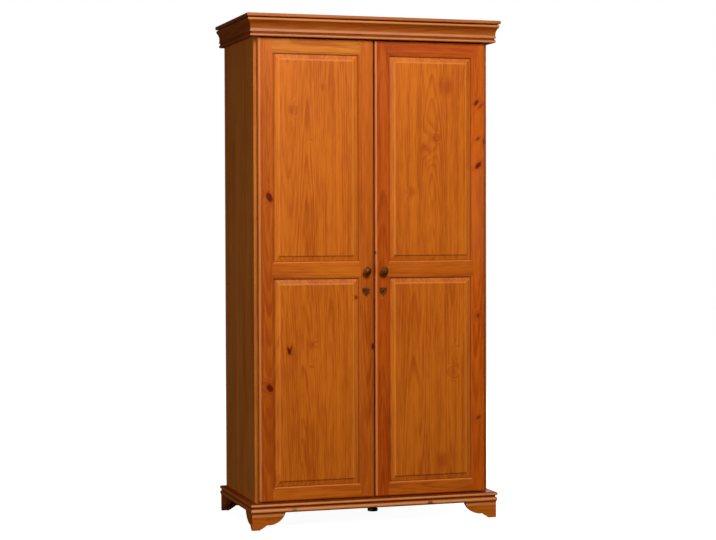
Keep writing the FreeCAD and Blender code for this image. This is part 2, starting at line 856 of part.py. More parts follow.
os.makedirs("parts", exist_ok=True)
for pieces in (carcass(), mouldings(), feet(), fitted_doors(), pivots(), door_fittings()):
    for name, shape in pieces.items():
        shape.exportStep(os.path.join("parts", name + ".step"))
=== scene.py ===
"""Looks of a two-door pine wardrobe: finishes, small fixings, studio and camera round its frame."""

import logging
import math
import random
from dataclasses import dataclass, replace
from enum import Enum
from typing import Iterable, Sequence

import bmesh
import bpy
from mathutils import Matrix, Vector


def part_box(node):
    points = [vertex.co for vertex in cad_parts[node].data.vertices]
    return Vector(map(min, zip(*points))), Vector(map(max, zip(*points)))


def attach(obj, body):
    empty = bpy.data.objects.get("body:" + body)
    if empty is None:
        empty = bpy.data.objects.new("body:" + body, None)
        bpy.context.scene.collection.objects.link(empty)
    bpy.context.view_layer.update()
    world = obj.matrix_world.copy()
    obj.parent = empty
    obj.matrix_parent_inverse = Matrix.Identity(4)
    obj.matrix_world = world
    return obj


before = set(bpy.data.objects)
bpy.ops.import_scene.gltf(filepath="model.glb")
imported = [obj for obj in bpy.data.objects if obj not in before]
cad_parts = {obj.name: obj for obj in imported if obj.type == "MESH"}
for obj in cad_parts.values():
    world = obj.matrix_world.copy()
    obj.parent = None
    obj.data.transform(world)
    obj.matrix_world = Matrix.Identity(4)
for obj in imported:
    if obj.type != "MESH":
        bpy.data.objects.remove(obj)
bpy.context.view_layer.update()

log = logging.getLogger("wardrobe")

Socket = bpy.types.NodeSocket
Feed = float | Sequence[float] | Socket
Colour = tuple[float, float, float]
Point = tuple[float, float, float]
Spot = tuple[float, float]
Span = tuple[float, float]
Ring = list[bmesh.types.BMVert]

NOISE_MIDDLE = 0.5
MIX_INPUTS = slice(6, 8)
MIX_OUTPUT = 2
WHITE: Colour = (1.0, 1.0, 1.0)
TO_FRONT = Vector((0, -1, 0))
TO_BACK = Vector((0, 1, 0))


class Hand(Enum):
    """Side of the wardrobe that a piece belongs to; the value points along X."""

    LEFT = -1
    RIGHT = 1

    @property
    def word(self) -> str:
        """The side's name as the frame's nodes spell it."""
        return self.name.lower()

    @property
    def inward(self) -> Vector:
        """Direction from this side to the wardrobe's middle."""
        return Vector((-self.value, 0, 0))

    def inset(self, low: Vector, high: Vector, distance: float) -> float:
        """X at a distance in from the end of a box that lies on this side."""
        return (low.x if self is Hand.LEFT else high.x) - self.value * distance


class Lay(Enum):
    """How a board lies: the frame axes along its grain, across its face and through it."""

    FRONT_UPRIGHT = (2, 0, 1)
    FRONT_LEVEL = (0, 2, 1)
    SIDE_UPRIGHT = (2, 1, 0)
    SIDE_LEVEL = (1, 2, 0)
    FLAT = (0, 1, 2)


class Tone(Enum):
    """Stain tone of a board: the colours of its early and late wood."""

    STRAW = ((0.72, 0.215, 0.020), (0.47, 0.105, 0.005))
    GOLDEN = ((0.715, 0.173, 0.010), (0.465, 0.081, 0.003))
    AMBER = ((0.645, 0.144, 0.009), (0.415, 0.066, 0.002))
    COPPER = ((0.700, 0.136, 0.006), (0.450, 0.059, 0.001))
    RUSSET = ((0.585, 0.101, 0.004), (0.375, 0.045, 0.001))
    HONEY = ((0.60, 0.180, 0.020), (0.41, 0.098, 0.006))
    UMBER = ((0.40, 0.092, 0.007), (0.26, 0.044, 0.002))

    @property
    def early(self) -> Colour:
        """Colour of the pale spring growth."""
        return self.value[0]

    @property
    def late(self) -> Colour:
        """Colour of the dark summer growth."""
        return self.value[1]


@dataclass(frozen=True)
class Knot:
    """A knot, placed along and across its board in frame metres; the shares say how it shows."""

    along: float
    across: float
    radius: float = 0.008
    stretch: float = 1.35
    slant: float = 0.0
    dark: float = 0.94
    stain: float = 0.45


@dataclass(frozen=True)
class Heart:
    """Where the tree's heart lay: across the board, how deep behind its face, and its lean."""

    across: float
    depth: float
    lean: float


@dataclass(frozen=True)
class PanelRim:
    """Painted shade and painted highlights round a raised panel, measured in from its edge.

    A painted shade line in the corner with the frame comes first, then a pale painted highlight on
    the bevel and a paler one on the edge of the field; a painted shade line runs under the field's
    foot.
    """

    sight: float = 0.0082
    field: float = 0.0292
    corner: float = 0.0045
    crest: float = 0.0045
    # Shares of the painted shade in the corner, the painted highlights on the bevel and field edge,
    # and the painted shade under the foot
    corner_share: float = 0.60
    bevel_share: float = 0.05
    crest_share: float = 0.50
    foot_share: float = 0.45
    # Colour of the panel's painted highlights
    colour: Colour = (0.88, 0.310, 0.055)


@dataclass(frozen=True)
class Strip:
    """Strip of a board painted pale or dark, mostly as painted light: a painted highlight on a lit
    bead or arris, or a painted shade line in a quirk, gap or shaded face.

    Its place is a level above the floor, or a place across the board for an upright strip.
    """

    place: float
    half: float
    pale: float = 0.0
    dark: float = 0.0
    upright: bool = False

    def faded(self, share: float) -> "Strip":
        """The same strip, with its pale painted highlight cut to a share."""
        return replace(self, pale=share * self.pale)


@dataclass(frozen=True)
class Board:
    """A wooden node and how it was sawn; a stave width of 0 means one solid board."""

    node: str
    lay: Lay
    tone: Tone = Tone.AMBER
    stave: float = 0.0
    glue_line: float = 0.0
    heart: Heart | None = None
    knots: tuple[Knot, ...] = ()
    # Rim and strips hold the board's painted highlights and painted shade
    rim: PanelRim | None = None
    strips: tuple[Strip, ...] = ()
    moulded: bool = False
    foot_shade: float = 0.0


class NodeBench:
    """Bench where one material's nodes are laid out and wired."""

    def __init__(self, name: str) -> None:
        """Start an empty material.

        Args:
            name: Name of the material.
        """
        self.material = bpy.data.materials.new(name)
        self.material.use_nodes = True
        self.tree = self.material.node_tree
        self.tree.nodes.clear()

    def add(self, kind: str, **settings: object) -> bpy.types.Node:
        """Put a node on the bench.

        Args:
            kind: Blender's name for the node type.
            **settings: Attributes to set on the node.

        Returns:
            The new node.
        """
        node = self.tree.nodes.new(kind)
        for name, value in settings.items():
            setattr(node, name, value)
        return node

    def feed(self, socket: Socket, value: Feed) -> None:
        """Wire a socket into another, or set its constant.

        Args:
            socket: Input to fill.
            value: Output socket to wire from, or a plain value.
        """
        if isinstance(value, Socket):
            self.tree.links.new(value, socket)
        else:
            socket.default_value = value

    def maths(self, operation: str, *feeds: Feed) -> Socket:
        """Work one sum.

        Args:
            operation: Blender's name for the sum.
            *feeds: Its terms, sockets or plain numbers.

        Returns:
            The answer's socket.
        """
        node = self.add("ShaderNodeMath", operation=operation)
        for socket, value in zip(node.inputs, feeds):
            self.feed(socket, value)
        return node.outputs[0]

    def chained(self, operation: str, *feeds: Feed) -> Socket:
        """Work a sum of two terms along any number of them.

        Args:
            operation: Blender's name for the sum.
            *feeds: Its terms, sockets or plain numbers.

        Returns:
            The answer's socket.
        """
        total = feeds[0]
        for term in feeds[1:]:
            total = self.maths(operation, total, term)
        return total

    def added(self, *feeds: Feed) -> Socket:
        """All the terms together."""
        return self.chained("ADD", *feeds)

    def less(self, value: Feed, taken: Feed) -> Socket:
        """What is left of a value when another is taken off it."""
        return self.maths("SUBTRACT", value, taken)

    def times(self, *feeds: Feed) -> Socket:
        """Product of the terms."""
        return self.chained("MULTIPLY", *feeds)

    def over(self, value: Feed, unit: Feed) -> Socket:
        """A value in terms of a unit."""
        return self.maths("DIVIDE", value, unit)

    def most(self, *feeds: Feed) -> Socket:
        """Largest of the terms."""
        return self.chained("MAXIMUM", *feeds)

    def size(self, value: Socket) -> Socket:
        """A value without its sign."""
        return self.maths("ABSOLUTE", value)

    def reach(self, *legs: Feed) -> Socket:
        """Straight distance from its legs, which stand square to each other."""
        squares = (self.maths("POWER", leg, 2.0) for leg in legs)
        return self.maths("SQRT", self.added(*squares))

    def swing(self, value: Feed, weight: float) -> Socket:
        """Swing about the middle of a value from 0 to 1, times a weight."""
        return self.times(self.less(value, NOISE_MIDDLE), weight)

    def mixed(self, first: Socket, second: Socket, share: float) -> Socket:
        """Mix of two values, with a share of the first."""
        return self.added(self.times(first, share), self.times(second, 1.0 - share))

    def parts(self, vector: Socket) -> Sequence[Socket]:
        """Take a vector apart.

        Args:
            vector: Vector to take apart.

        Returns:
            Its parts along the three axes.
        """
        node = self.add("ShaderNodeSeparateXYZ")
        self.feed(node.inputs[0], vector)
        return node.outputs

    def scaled(self, vector: Socket, scale: Sequence[float]) -> Socket:
        """Stretch a vector axis by axis.

        Args:
            vector: Vector to stretch.
            scale: Factor for each axis.

        Returns:
            The stretched vector's socket.
        """
        node = self.add("ShaderNodeVectorMath", operation="MULTIPLY")
        self.feed(node.inputs[0], vector)
        self.feed(node.inputs[1], scale)
        return node.outputs[0]

    def noise(self, vector: Socket, scale: Sequence[float], octaves: float) -> Socket:
        """Smooth noise from 0 to 1, with a feature about every 1/scale metres.

        Args:
            vector: Place to read.
            scale: Features per metre on each axis.
            octaves: Octaves of finer noise.

        Returns:
            The noise value's socket.
        """
        node = self.add("ShaderNodeTexNoise")
        self.feed(node.inputs["Vector"], self.scaled(vector, scale))
        self.feed(node.inputs["Scale"], 1.0)
        self.feed(node.inputs["Detail"], octaves)
        return node.outputs[0]

    def ramp(
        self, value: Feed, low: float, high: float, start: float = 0.0, end: float = 1.0
    ) -> Socket:
        """Soft step from start to end as a value goes from low to high.

        Args:
            value: Value to read.
            low: Level where the step begins.
            high: Level where it is complete.
            start: Result below the step.
            end: Result above it.

        Returns:
            The stepped value's socket.
        """
        node = self.add("ShaderNodeMapRange", interpolation_type="SMOOTHSTEP")
        for socket, term in zip(node.inputs, (value, low, high, start, end)):
            self.feed(socket, term)
        return node.outputs[0]

    def blend(self, factor: Feed, first: Feed, second: Feed) -> Socket:
        """Blend two colours.

        Args:
            factor: Share of the second colour.
            first: First colour.
            second: Second colour.

        Returns:
            The blended colour's socket.
        """
        node = self.add("ShaderNodeMix", data_type="RGBA")
        self.feed(node.inputs["Factor"], factor)
        for socket, value in zip(node.inputs[MIX_INPUTS], (first, second)):
            self.feed(socket, value if isinstance(value, Socket) else (*value, 1.0))
        return node.outputs[MIX_OUTPUT]

    def bump(self, height: Socket, strength: float, depth: float) -> Socket:
        """Surface normal of a height pattern.

        Args:
            height: Pattern from 0 to 1.
            strength: Share of the bump that shows.
            depth: Height of a full step in metres.

        Returns:
            The normal's socket.
        """
        node = self.add("ShaderNodeBump")
        self.feed(node.inputs["Strength"], strength)
        self.feed(node.inputs["Distance"], depth)
        self.feed(node.inputs["Height"], height)
        return node.outputs[0]

    def surface(self, **sockets: Feed) -> bpy.types.Material:
        """Close the material with a Principled surface.

        Args:
            **sockets: Values for its inputs, with _ for a space in the input's name.

        Returns:
            The finished material.
        """
        shader = self.add("ShaderNodeBsdfPrincipled")
        for name, value in sockets.items():
            self.feed(shader.inputs[name.replace("_", " ")], value)
        output = self.add("ShaderNodeOutputMaterial")
        self.feed(output.inputs["Surface"], shader.outputs[0])
        return self.material


class BoardBench(NodeBench):
    """Bench of one board's material, with what its nodes read.

    The places and sizes are along the grain, across the face and through the board, in turn.
    """

    def __init__(self, board: Board) -> None:
        """Start a board's material.

        Args:
            board: The board and how it was sawn.
        """
        super().__init__("pine_" + board.node)
        self.board = board
        self.chance = random.Random(board.node)
        low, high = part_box(board.node)
        self.low = [low[axis] for axis in board.lay.value]
        self.high = [high[axis] for axis in board.lay.value]
        self.middle = [((low + high) / 2)[axis] for axis in board.lay.value]
        coords = self.add("ShaderNodeTexCoord")
        axes = self.parts(coords.outputs["Object"])
        self.along, self.across, self.deep = (axes[axis] for axis in board.lay.value)
        self.level = axes[2]
        self.turns = self.parts(coords.outputs["Normal"])


@dataclass(frozen=True)
class Mottle:
    """A noise in the wood: features per metre along and across the grain, weight and octaves."""

    along: float
    across: float
    weight: float
    octaves: float = 2.0

    def read(self, bench: NodeBench, grain: Socket) -> Socket:
        """The noise at a place in the grain, from 0 to 1."""
        return bench.noise(grain, (self.along, self.across, self.across), self.octaves)


@dataclass(frozen=True)
class PineFinish:
    """Honey-stained pine under satin lacquer, figured by rings round the tree's heart.

    A span holds the two levels between which a soft step runs.
    """

    streak: Mottle = Mottle(0.9, 45.0, 1.1, 3.0)
    fibre: Mottle = Mottle(7.0, 800.0, 0.30)
    drift: Mottle = Mottle(2.2, 12.0, 1.1)
    stroke: Mottle = Mottle(13.0, 120.0, 1.1, 3.0)
    wander: Mottle = Mottle(1.4, 7.0, 0.020)
    ring_pitch: float = 0.0065
    ring_weight: float = 0.42
    ring_rise: Span = (0.25, 0.85)
    ring_fall: Span = (0.88, 1.0)
    year_rate: float = 0.37
    year_start: Span = (0.0, 50.0)
    year_span: Span = (0.3, 0.7)
    year_least: float = 0.25
    heart_spans: tuple[Span, Span, Span] = ((-0.02, 0.02), (0.02, 0.06), (-0.05, 0.05))
    heart_nearest: float = 0.012
    heart_spread: float = 0.050
    log_start: Span = (2.0, 9.0)
    stave_lean: float = 0.12
    stave_shade: float = 0.20
    stave_shift: float = 2.37
    ground: float = 0.30
    tone_span: Span = (-0.05, 1.05)
    knot_colour: Colour = (0.120, 0.006, 0.0005)
    knot_halo: Colour = (0.42, 0.045, 0.002)
    knot_bulge: float = 0.014
    core_span: Span = (0.55, 1.1)
    swirl_span: Span = (0.6, 3.0)
    stain_span: Span = (0.6, 2.4)
    # Pale colour of worn arrises and of painted highlights on beads and arrises; arrises that face
    # up get a larger share, a painted highlight from light above
    worn_colour: Colour = (0.92, 0.365, 0.125)
    worn_share: float = 0.19
    worn_above: float = 0.60
    arris_span: Span = (0.76, 0.93)
    above_span: Span = (0.1, 0.6)
    patch_span: Span = (0.25, 0.6)
    patch_least: float = 0.6
    front_span: Span = (-0.2, 0.0)
    line_core: float = 0.3
    end_soak: float = 0.75
    end_span: Span = (0.5, 0.9)
    # Colour of painted shade lines and of stain soaked into end grain
    dirt_colour: Colour = (0.19, 0.026, 0.001)
    relief_rings: float = 0.4
    relief_share: float = 0.25
    relief_depth: float = 0.0003
    gloss: float = 0.42
    gloss_streak: float = 0.16
    gloss_drift: float = 0.12
    shine: float = 0.12
    coat: float = 0.05
    coat_gloss: float = 0.20

    def material(self, board: Board) -> bpy.types.Material:
        """Make the material of one board.

        Args:
            board: The board and how it was sawn.

        Returns:
            The board's material.
        """
        bench = BoardBench(board)
        grain, from_heart, shade = self.sawn(bench)
        core, swirl, stain = self.knotted(bench)
        rings = self.figure(bench, grain, from_heart, swirl)
        mottles = (self.streak, self.fibre, self.drift, self.stroke)
        noises = [mottle.read(bench, grain) for mottle in mottles]
        streak, fibre, drift, _ = noises
        late = bench.added(
            self.ground,
            shade,
            bench.ramp(bench.along, bench.low[0], bench.high[0], board.foot_shade, 0.0),
            bench.times(rings, self.ring_weight),
            *(bench.swing(noise, mottle.weight) for noise, mottle in zip(noises, mottles)),
        )
        wood = bench.blend(bench.ramp(late, *self.tone_span), board.tone.early, board.tone.late)
        wood = bench.blend(stain, wood, self.knot_halo)
        # Pale marks are painted highlights and worn arrises; dark marks are painted shade and end
        # grain soaked with stain
        pale, dark = self.rubbed(bench)
        patchy = bench.ramp(fibre, *self.patch_span, self.patch_least, 1.0)
        worn = board.rim.colour if board.rim else self.worn_colour
        wood = bench.blend(bench.times(pale, patchy), wood, worn)
        wood = bench.blend(dark, wood, self.dirt_colour)
        wood = bench.blend(core, wood, self.knot_colour)
        relief = bench.mixed(rings, fibre, self.relief_rings)
        uneven = (bench.swing(streak, self.gloss_streak), bench.swing(drift, self.gloss_drift))
        return bench.surface(
            Base_Color=wood,
            Roughness=bench.added(self.gloss, *uneven),
            Normal=bench.bump(relief, self.relief_share, self.relief_depth),
            Specular_IOR_Level=self.shine,
            Coat_Weight=self.coat,
            Coat_Roughness=self.coat_gloss,
        )

    def sawn(self, bench: BoardBench) -> tuple[Socket, Socket, Feed]:
        """Place a board, or each of its glued staves, in its tree.

        Args:
            bench: The board's bench.

        Returns:
            The place in the grain, the distance from the heart, and the board's own shade.
        """
        board, chance = bench.board, bench.chance
        run = bench.less(bench.along, bench.middle[0])
        through = bench.less(bench.deep, bench.middle[2])
        offset = chance.uniform(*self.log_start)
        shade: Feed = 0.0
        if board.stave:
            place = bench.over(bench.less(bench.across, board.glue_line), board.stave)
            count = bench.maths("FLOOR", place)
            draw = bench.add("ShaderNodeTexWhiteNoise", noise_dimensions="1D")
            bench.feed(draw.inputs["W"], bench.added(count, offset))
            lots = bench.parts(draw.outputs["Color"])
            within = bench.swing(bench.less(place, count), board.stave)
            aside = bench.added(within, bench.swing(lots[0], board.stave))
            depth = bench.added(bench.times(lots[1], self.heart_spread), self.heart_nearest)
            lean = bench.swing(lots[2], self.stave_lean)
            shade = bench.swing(lots[2], self.stave_shade)
            shifted = bench.added(run, bench.times(count, self.stave_shift))
        else:
            heart = board.heart or Heart(*(chance.uniform(*span) for span in self.heart_spans))
            aside = bench.less(bench.across, bench.middle[1] + heart.across)
            depth = heart.depth
            lean = heart.lean
            shifted = bench.added(run, offset)
        behind = bench.added(through, depth, bench.times(run, lean))
        join = bench.add("ShaderNodeCombineXYZ")
        for socket, value in zip(join.inputs, (shifted, bench.across, bench.deep)):
            bench.feed(socket, value)
        return join.outputs[0], bench.reach(aside, behind), shade

    def knotted(self, bench: BoardBench) -> tuple[Feed, Feed, Feed]:
        """Find how much of the knots' cores, ring swirls and stains lies at a place.

        Args:
            bench: The board's bench.

        Returns:
            The shares of core, swirl and stain, from 0 to 1.
        """
        core: Feed = 0.0
        swirl: Feed = 0.0
        stain: Feed = 0.0
        for knot in bench.board.knots:
            up = bench.less(bench.along, knot.along)
            aside = bench.added(bench.less(bench.across, knot.across), bench.times(up, knot.slant))
            reach = bench.reach(bench.over(up, knot.stretch), aside)
            reach = bench.over(reach, knot.radius)
            core = bench.most(core, bench.ramp(reach, *self.core_span, knot.dark, 0.0))
            swirl = bench.most(swirl, bench.ramp(reach, *self.swirl_span, 1.0, 0.0))
            stain = bench.most(stain, bench.ramp(reach, *self.stain_span, knot.stain, 0.0))
        return core, swirl, stain

    def figure(self, bench: BoardBench, grain: Socket, from_heart: Socket, swirl: Feed) -> Socket:
        """Darkness of the growth rings.

        Args:
            bench: The board's bench.
            grain: Place in the grain.
            from_heart: Distance from the tree's heart.
            swirl: Share of a knot's swirl, which pushes the rings aside.

        Returns:
            The rings' darkness, from 0 to 1.
        """
        wander = bench.swing(self.wander.read(bench, grain), self.wander.weight)
        push = bench.times(swirl, self.knot_bulge)
        count = bench.over(bench.added(from_heart, wander, push), self.ring_pitch)
        growth = bench.maths("FRACT", count)
        rise = bench.ramp(growth, *self.ring_rise)
        fall = bench.ramp(growth, *self.ring_fall, 1.0, 0.0)
        start = bench.chance.uniform(*self.year_start)
        years = bench.add("ShaderNodeTexNoise", noise_dimensions="1D")
        bench.feed(years.inputs["W"], bench.added(bench.times(count, self.year_rate), start))
        bench.feed(years.inputs["Scale"], 1.0)
        strong = bench.ramp(years.outputs[0], *self.year_span, self.year_least, 1.0)
        return bench.times(rise, fall, strong)

    def rubbed(self, bench: BoardBench) -> tuple[Feed, Feed]:
        """Find the pale share, painted highlights and worn arrises, and the dark share, painted
        shade and end grain soaked with stain.

        Args:
            bench: The board's bench.

        Returns:
            The pale and the dark share, from 0 to 1.
        """
        board = bench.board
        front = bench.ramp(bench.turns[1], *self.front_span, 1.0, 0.0)
        pale, dark = (self.rimmed if board.rim else self.stripped)(bench, front)
        if not board.rim and not board.moulded:
            pale = bench.most(pale, self.worn(bench))
        end_grain = bench.size(bench.turns[board.lay.value[0]])
        return pale, bench.most(dark, bench.ramp(end_grain, *self.end_span, 0.0, self.end_soak))

    def worn(self, bench: BoardBench) -> Socket:
        """Share of wear, and of painted highlight, where a surface turns a corner.

        Args:
            bench: The board's bench.

        Returns:
            The worn and highlighted share, from 0 to 1.
        """
        flat = bench.most(*(bench.size(turn) for turn in bench.turns))
        # Corners that face up get the larger share, as a painted highlight from light above
        share = bench.ramp(bench.turns[2], *self.above_span, self.worn_share, self.worn_above)
        return bench.times(bench.ramp(flat, *self.arris_span, 1.0, 0.0), share)

    def rimmed(self, bench: BoardBench, front: Socket) -> tuple[Socket, Socket]:
        """Find the painted highlights on the bevel round a raised panel, and the painted shade in
        its corner and under its field.

        Args:
            bench: The panel's bench.
            front: Share of a surface that faces the front.

        Returns:
            The pale and the dark share, from 0 to 1.
        """
        rim = bench.board.rim
        insets: list[Socket] = []
        for place, low, high in zip((bench.along, bench.across), bench.low, bench.high):
            aside = bench.size(bench.less(place, (low + high) / 2))
            insets.append(bench.less((high - low) / 2, aside))
        inset = bench.maths("MINIMUM", *insets)
        # Painted highlights on the bevel and along the field's edge, but not along its foot
        bevel = bench.ramp(inset, rim.field, rim.field + rim.crest, rim.bevel_share, 0.0)
        crest = self.line(bench, inset, rim.field, rim.crest, rim.crest_share)
        foot = bench.low[0] + rim.field
        crest = bench.times(crest, bench.ramp(bench.along, foot, foot + rim.crest))
        # Painted shade under the field's foot, on the front only
        under = self.line(bench, bench.along, foot, rim.crest, rim.foot_share)
        under = bench.times(under, bench.ramp(insets[1], rim.field - rim.crest, rim.field))
        # Painted shade in the corner with the frame
        corner = bench.ramp(inset, rim.sight, rim.sight + rim.corner, rim.corner_share, 0.0)
        pale = bench.times(bench.most(bevel, crest), front)
        return pale, bench.most(corner, bench.times(under, front))

    def stripped(self, bench: BoardBench, front: Socket) -> tuple[Feed, Feed]:
        """Find how pale or dark the strips along a board are; most are painted highlights and
        painted shade.

        Args:
            bench: The board's bench.
            front: Share of a surface that faces the front, where the upright strips are.

        Returns:
            The pale and the dark share, from 0 to 1.
        """
        pale: Feed = 0.0
        dark: Feed = 0.0
        for strip in bench.board.strips:
            place, shown = (bench.across, front) if strip.upright else (bench.level, 1.0)
            share = bench.times(self.line(bench, place, strip.place, strip.half), shown)
            pale = bench.most(pale, bench.times(share, strip.pale))
            dark = bench.most(dark, bench.times(share, strip.dark))
        return pale, dark

    def line(
        self, bench: BoardBench, place: Socket, middle: float, half: float, share: float = 1.0
    ) -> Socket:
        """Draw one soft line.

        Args:
            bench: The board's bench.
            place: Place across the line.
            middle: Where the line lies.
            half: Half of its width.
            share: Strength along its middle.

        Returns:
            The line's strength, from 0 to share.
        """
        off = bench.size(bench.less(place, middle))
        return bench.ramp(off, self.line_core * half, half, share, 0.0)

    def dress(self, boards: Iterable[Board]) -> None:
        """Give each board its own material.

        Args:
            boards: Boards to dress.
        """
        for board in boards:
            put_on(board.node, self.material(board))


@dataclass(frozen=True)
class SpeckledFinish:
    """A finish of two close colours in a fine speckle, such as hardboard or moulded plastic."""

    name: str
    ground: Colour
    fleck: Colour
    grains_per_metre: float
    gloss: float
    depth: float
    grain_octaves: float = 4.0
    grain_share: float = 0.65
    clouds_per_metre: float = 9.0
    cloud_octaves: float = 3.0
    fleck_span: Span = (0.35, 0.65)
    gloss_swing: float = 0.2
    relief_share: float = 0.4

    def material(self) -> bpy.types.Material:
        """Make the finish's material.

        Returns:
            The material.
        """
        bench = NodeBench(self.name)
        place = bench.add("ShaderNodeTexCoord").outputs["Object"]
        fine = bench.noise(place, (self.grains_per_metre,) * 3, self.grain_octaves)
        broad = bench.noise(place, (self.clouds_per_metre,) * 3, self.cloud_octaves)
        flecks = bench.ramp(bench.mixed(fine, broad, self.grain_share), *self.fleck_span)
        return bench.surface(
            Base_Color=bench.blend(flecks, self.ground, self.fleck),
            Roughness=bench.added(self.gloss, bench.swing(broad, self.gloss_swing)),
            Normal=bench.bump(fine, self.relief_share, self.depth),
        )


@dataclass(frozen=True)
class MetalFinish:
    """A metal with a patina and brighter wear in cloudy, brushed patches."""

    name: str
    bright: Colour
    patina: Colour
    bright_span: Span
    gloss: float
    brush: tuple[float, float, float] = (400.0, 400.0, 400.0)
    brush_octaves: float = 3.0
    clouds_per_metre: float = 120.0
    cloud_octaves: float = 4.0
    cloud_share: float = 0.7
    gloss_swing: float = 0.3
    relief_share: float = 0.15
    relief_depth: float = 0.0002

    def material(self) -> bpy.types.Material:
        """Make the finish's material.

        Returns:
            The material.
        """
        bench = NodeBench(self.name)
        place = bench.add("ShaderNodeTexCoord").outputs["Object"]
        cloud = bench.noise(place, (self.clouds_per_metre,) * 3, self.cloud_octaves)
        brushed = bench.noise(place, self.brush, self.brush_octaves)
        bright = bench.ramp(bench.mixed(cloud, brushed, self.cloud_share), *self.bright_span)
        return bench.surface(
            Base_Color=bench.blend(bright, self.patina, self.bright),
            Metallic=1.0,
            Roughness=bench.added(self.gloss, bench.swing(brushed, self.gloss_swing)),
            Normal=bench.bump(brushed, self.relief_share, self.relief_depth),
        )


PINE = PineFinish()
HARDBOARD = SpeckledFinish(
    "hardboard", (0.30, 0.155, 0.065), (0.22, 0.105, 0.042), 900.0, 0.62, 0.0002
)
STRIP = SpeckledFinish(
    "joining_strip_plastic", (0.17, 0.085, 0.036), (0.14, 0.068, 0.028), 1400.0, 0.45, 0.0001
)
BLACK_PLASTIC = SpeckledFinish(
    "black_plastic", (0.010, 0.010, 0.011), (0.018, 0.018, 0.019), 1800.0, 0.42, 0.0001
)
BRONZE = MetalFinish(
    "antique_bronze", (0.38, 0.133, 0.030), (0.13, 0.041, 0.010), (0.40, 0.70), 0.68
)
DULL_STEEL = MetalFinish(
    "dull_steel", (0.16, 0.15, 0.14), (0.08, 0.075, 0.07), (0.30, 0.60), 0.55
)
STEEL = MetalFinish(
    "satin_steel", (0.60, 0.585, 0.56), (0.40, 0.39, 0.37), (0.30, 0.60), 0.30, (60.0, 60.0, 900.0)
)


def put_on(node: str, material: bpy.types.Material) -> None:
    """Give a node of the frame one material all over.

    Args:
        node: Name of the node.
        material: Its material.
    """
    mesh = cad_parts[node].data
    mesh.materials.clear()
    mesh.materials.append(material)
    log.info("dressed %s", node)


@dataclass(frozen=True)
class Seat:
    """Where a fixing sits: a point on a surface, the way out of it, and a turn about that way."""

    point: Vector
    out: Vector
    turn: float = 0.0

    @property
    def stand(self) -> Matrix:
        """Matrix that stands a head on the seat."""
        upright = self.out.to_track_quat("Z", "Y").to_matrix().to_4x4()
        return Matrix.Translation(self.point) @ upright @ Matrix.Rotation(self.turn, 4, "Z")


def circle(radius: float, angles: Iterable[float]) -> list[Spot]:
    """Points of a circle at some angles."""
    return [(radius * math.cos(angle), radius * math.sin(angle)) for angle in angles]


def ring(mesh: bmesh.types.BMesh, stand: Matrix, points: Iterable[Spot], level: float) -> Ring:
    """New vertices of a mesh at points on one level above a seat."""
    return [mesh.verts.new(stand @ Vector((x, y, level))) for x, y in points]


@dataclass(frozen=True)
class CrossScrew:
    """Countersunk screw head with a cross recess, seated on a surface."""

    radius: float = 0.0032
    proud: float = 0.0004
    sunk: float = 0.0008
    recess: float = 0.0009
    arm_reach: float = 0.55
    arm_half: float = 0.17
    crown_share: float = 0.86
    edge_share: float = 0.4

    def corners(self) -> list[Spot]:
        """Outline of the cross recess.

        Returns:
            Its twelve corners in turn.
        """
        long, half = self.arm_reach * self.radius, self.arm_half * self.radius
        made: list[Spot] = []
        for quarter in range(4):
            turn = quarter * math.pi / 2
            c, s = round(math.cos(turn)), round(math.sin(turn))
            for x, y in ((long, -half), (long, half), (half, half)):
                made.append((c * x - s * y, s * x + c * y))
        return made

    def add_to(self, mesh: bmesh.types.BMesh, seat: Seat) -> None:
        """Add one head to a mesh.

        Args:
            mesh: Mesh that gathers the heads.
            seat: Where the screw sits.
        """
        corners = self.corners()
        angles = [math.atan2(y, x) for x, y in corners]
        rim: list[float] = []
        for start, end in zip(angles, angles[1:] + angles[:1]):
            rim += [start, start + ((end - start) % math.tau) / 2]
        stand = seat.stand
        cross = ring(mesh, stand, corners, self.proud)
        floor = ring(mesh, stand, corners, self.proud - self.recess)
        crown = ring(mesh, stand, circle(self.crown_share * self.radius, rim), self.proud)
        edge = ring(mesh, stand, circle(self.radius, rim), self.edge_share * self.proud)
        foot = ring(mesh, stand, circle(self.radius, rim), -self.sunk)
        count = len(corners)
        for index in range(count):
            after = (index + 1) % count
            outer = [crown[(2 * index + step) % len(rim)] for step in range(3)]
            mesh.faces.new((cross[index], *outer, cross[after]))
            mesh.faces.new((cross[index], cross[after], floor[after], floor[index]))
        for upper, lower in ((crown, edge), (edge, foot)):
            for index in range(len(rim)):
                after = (index + 1) % len(rim)
                mesh.faces.new((upper[index], lower[index], lower[after], upper[after]))
        mesh.faces.new(floor)
        mesh.faces.new(reversed(foot))


@dataclass(frozen=True)
class DomePin:
    """Small round-headed pin, driven into a surface."""

    radius: float = 0.0016
    proud: float = 0.0007
    sunk: float = 0.0006
    sides: int = 14
    rings: int = 4

    def add_to(self, mesh: bmesh.types.BMesh, seat: Seat) -> None:
        """Add one head to a mesh.

        Args:
            mesh: Mesh that gathers the heads.
            seat: Where the pin sits.
        """
        levels = [(self.radius, -self.sunk)]
        for step in range(self.rings):
            lift = step / self.rings * math.pi / 2
            levels.append((self.radius * math.cos(lift), self.proud * math.sin(lift)))
        angles = [math.tau * side / self.sides for side in range(self.sides)]
        stand = seat.stand
        rows = [ring(mesh, stand, circle(radius, angles), level) for radius, level in levels]
        top = mesh.verts.new(stand @ Vector((0.0, 0.0, self.proud)))
        for side in range(self.sides):
            after = (side + 1) % self.sides
            for lower, upper in zip(rows, rows[1:]):
                mesh.faces.new((lower[side], lower[after], upper[after], upper[side]))
            mesh.faces.new((rows[-1][side], rows[-1][after], top))
        mesh.faces.new(reversed(rows[0]))


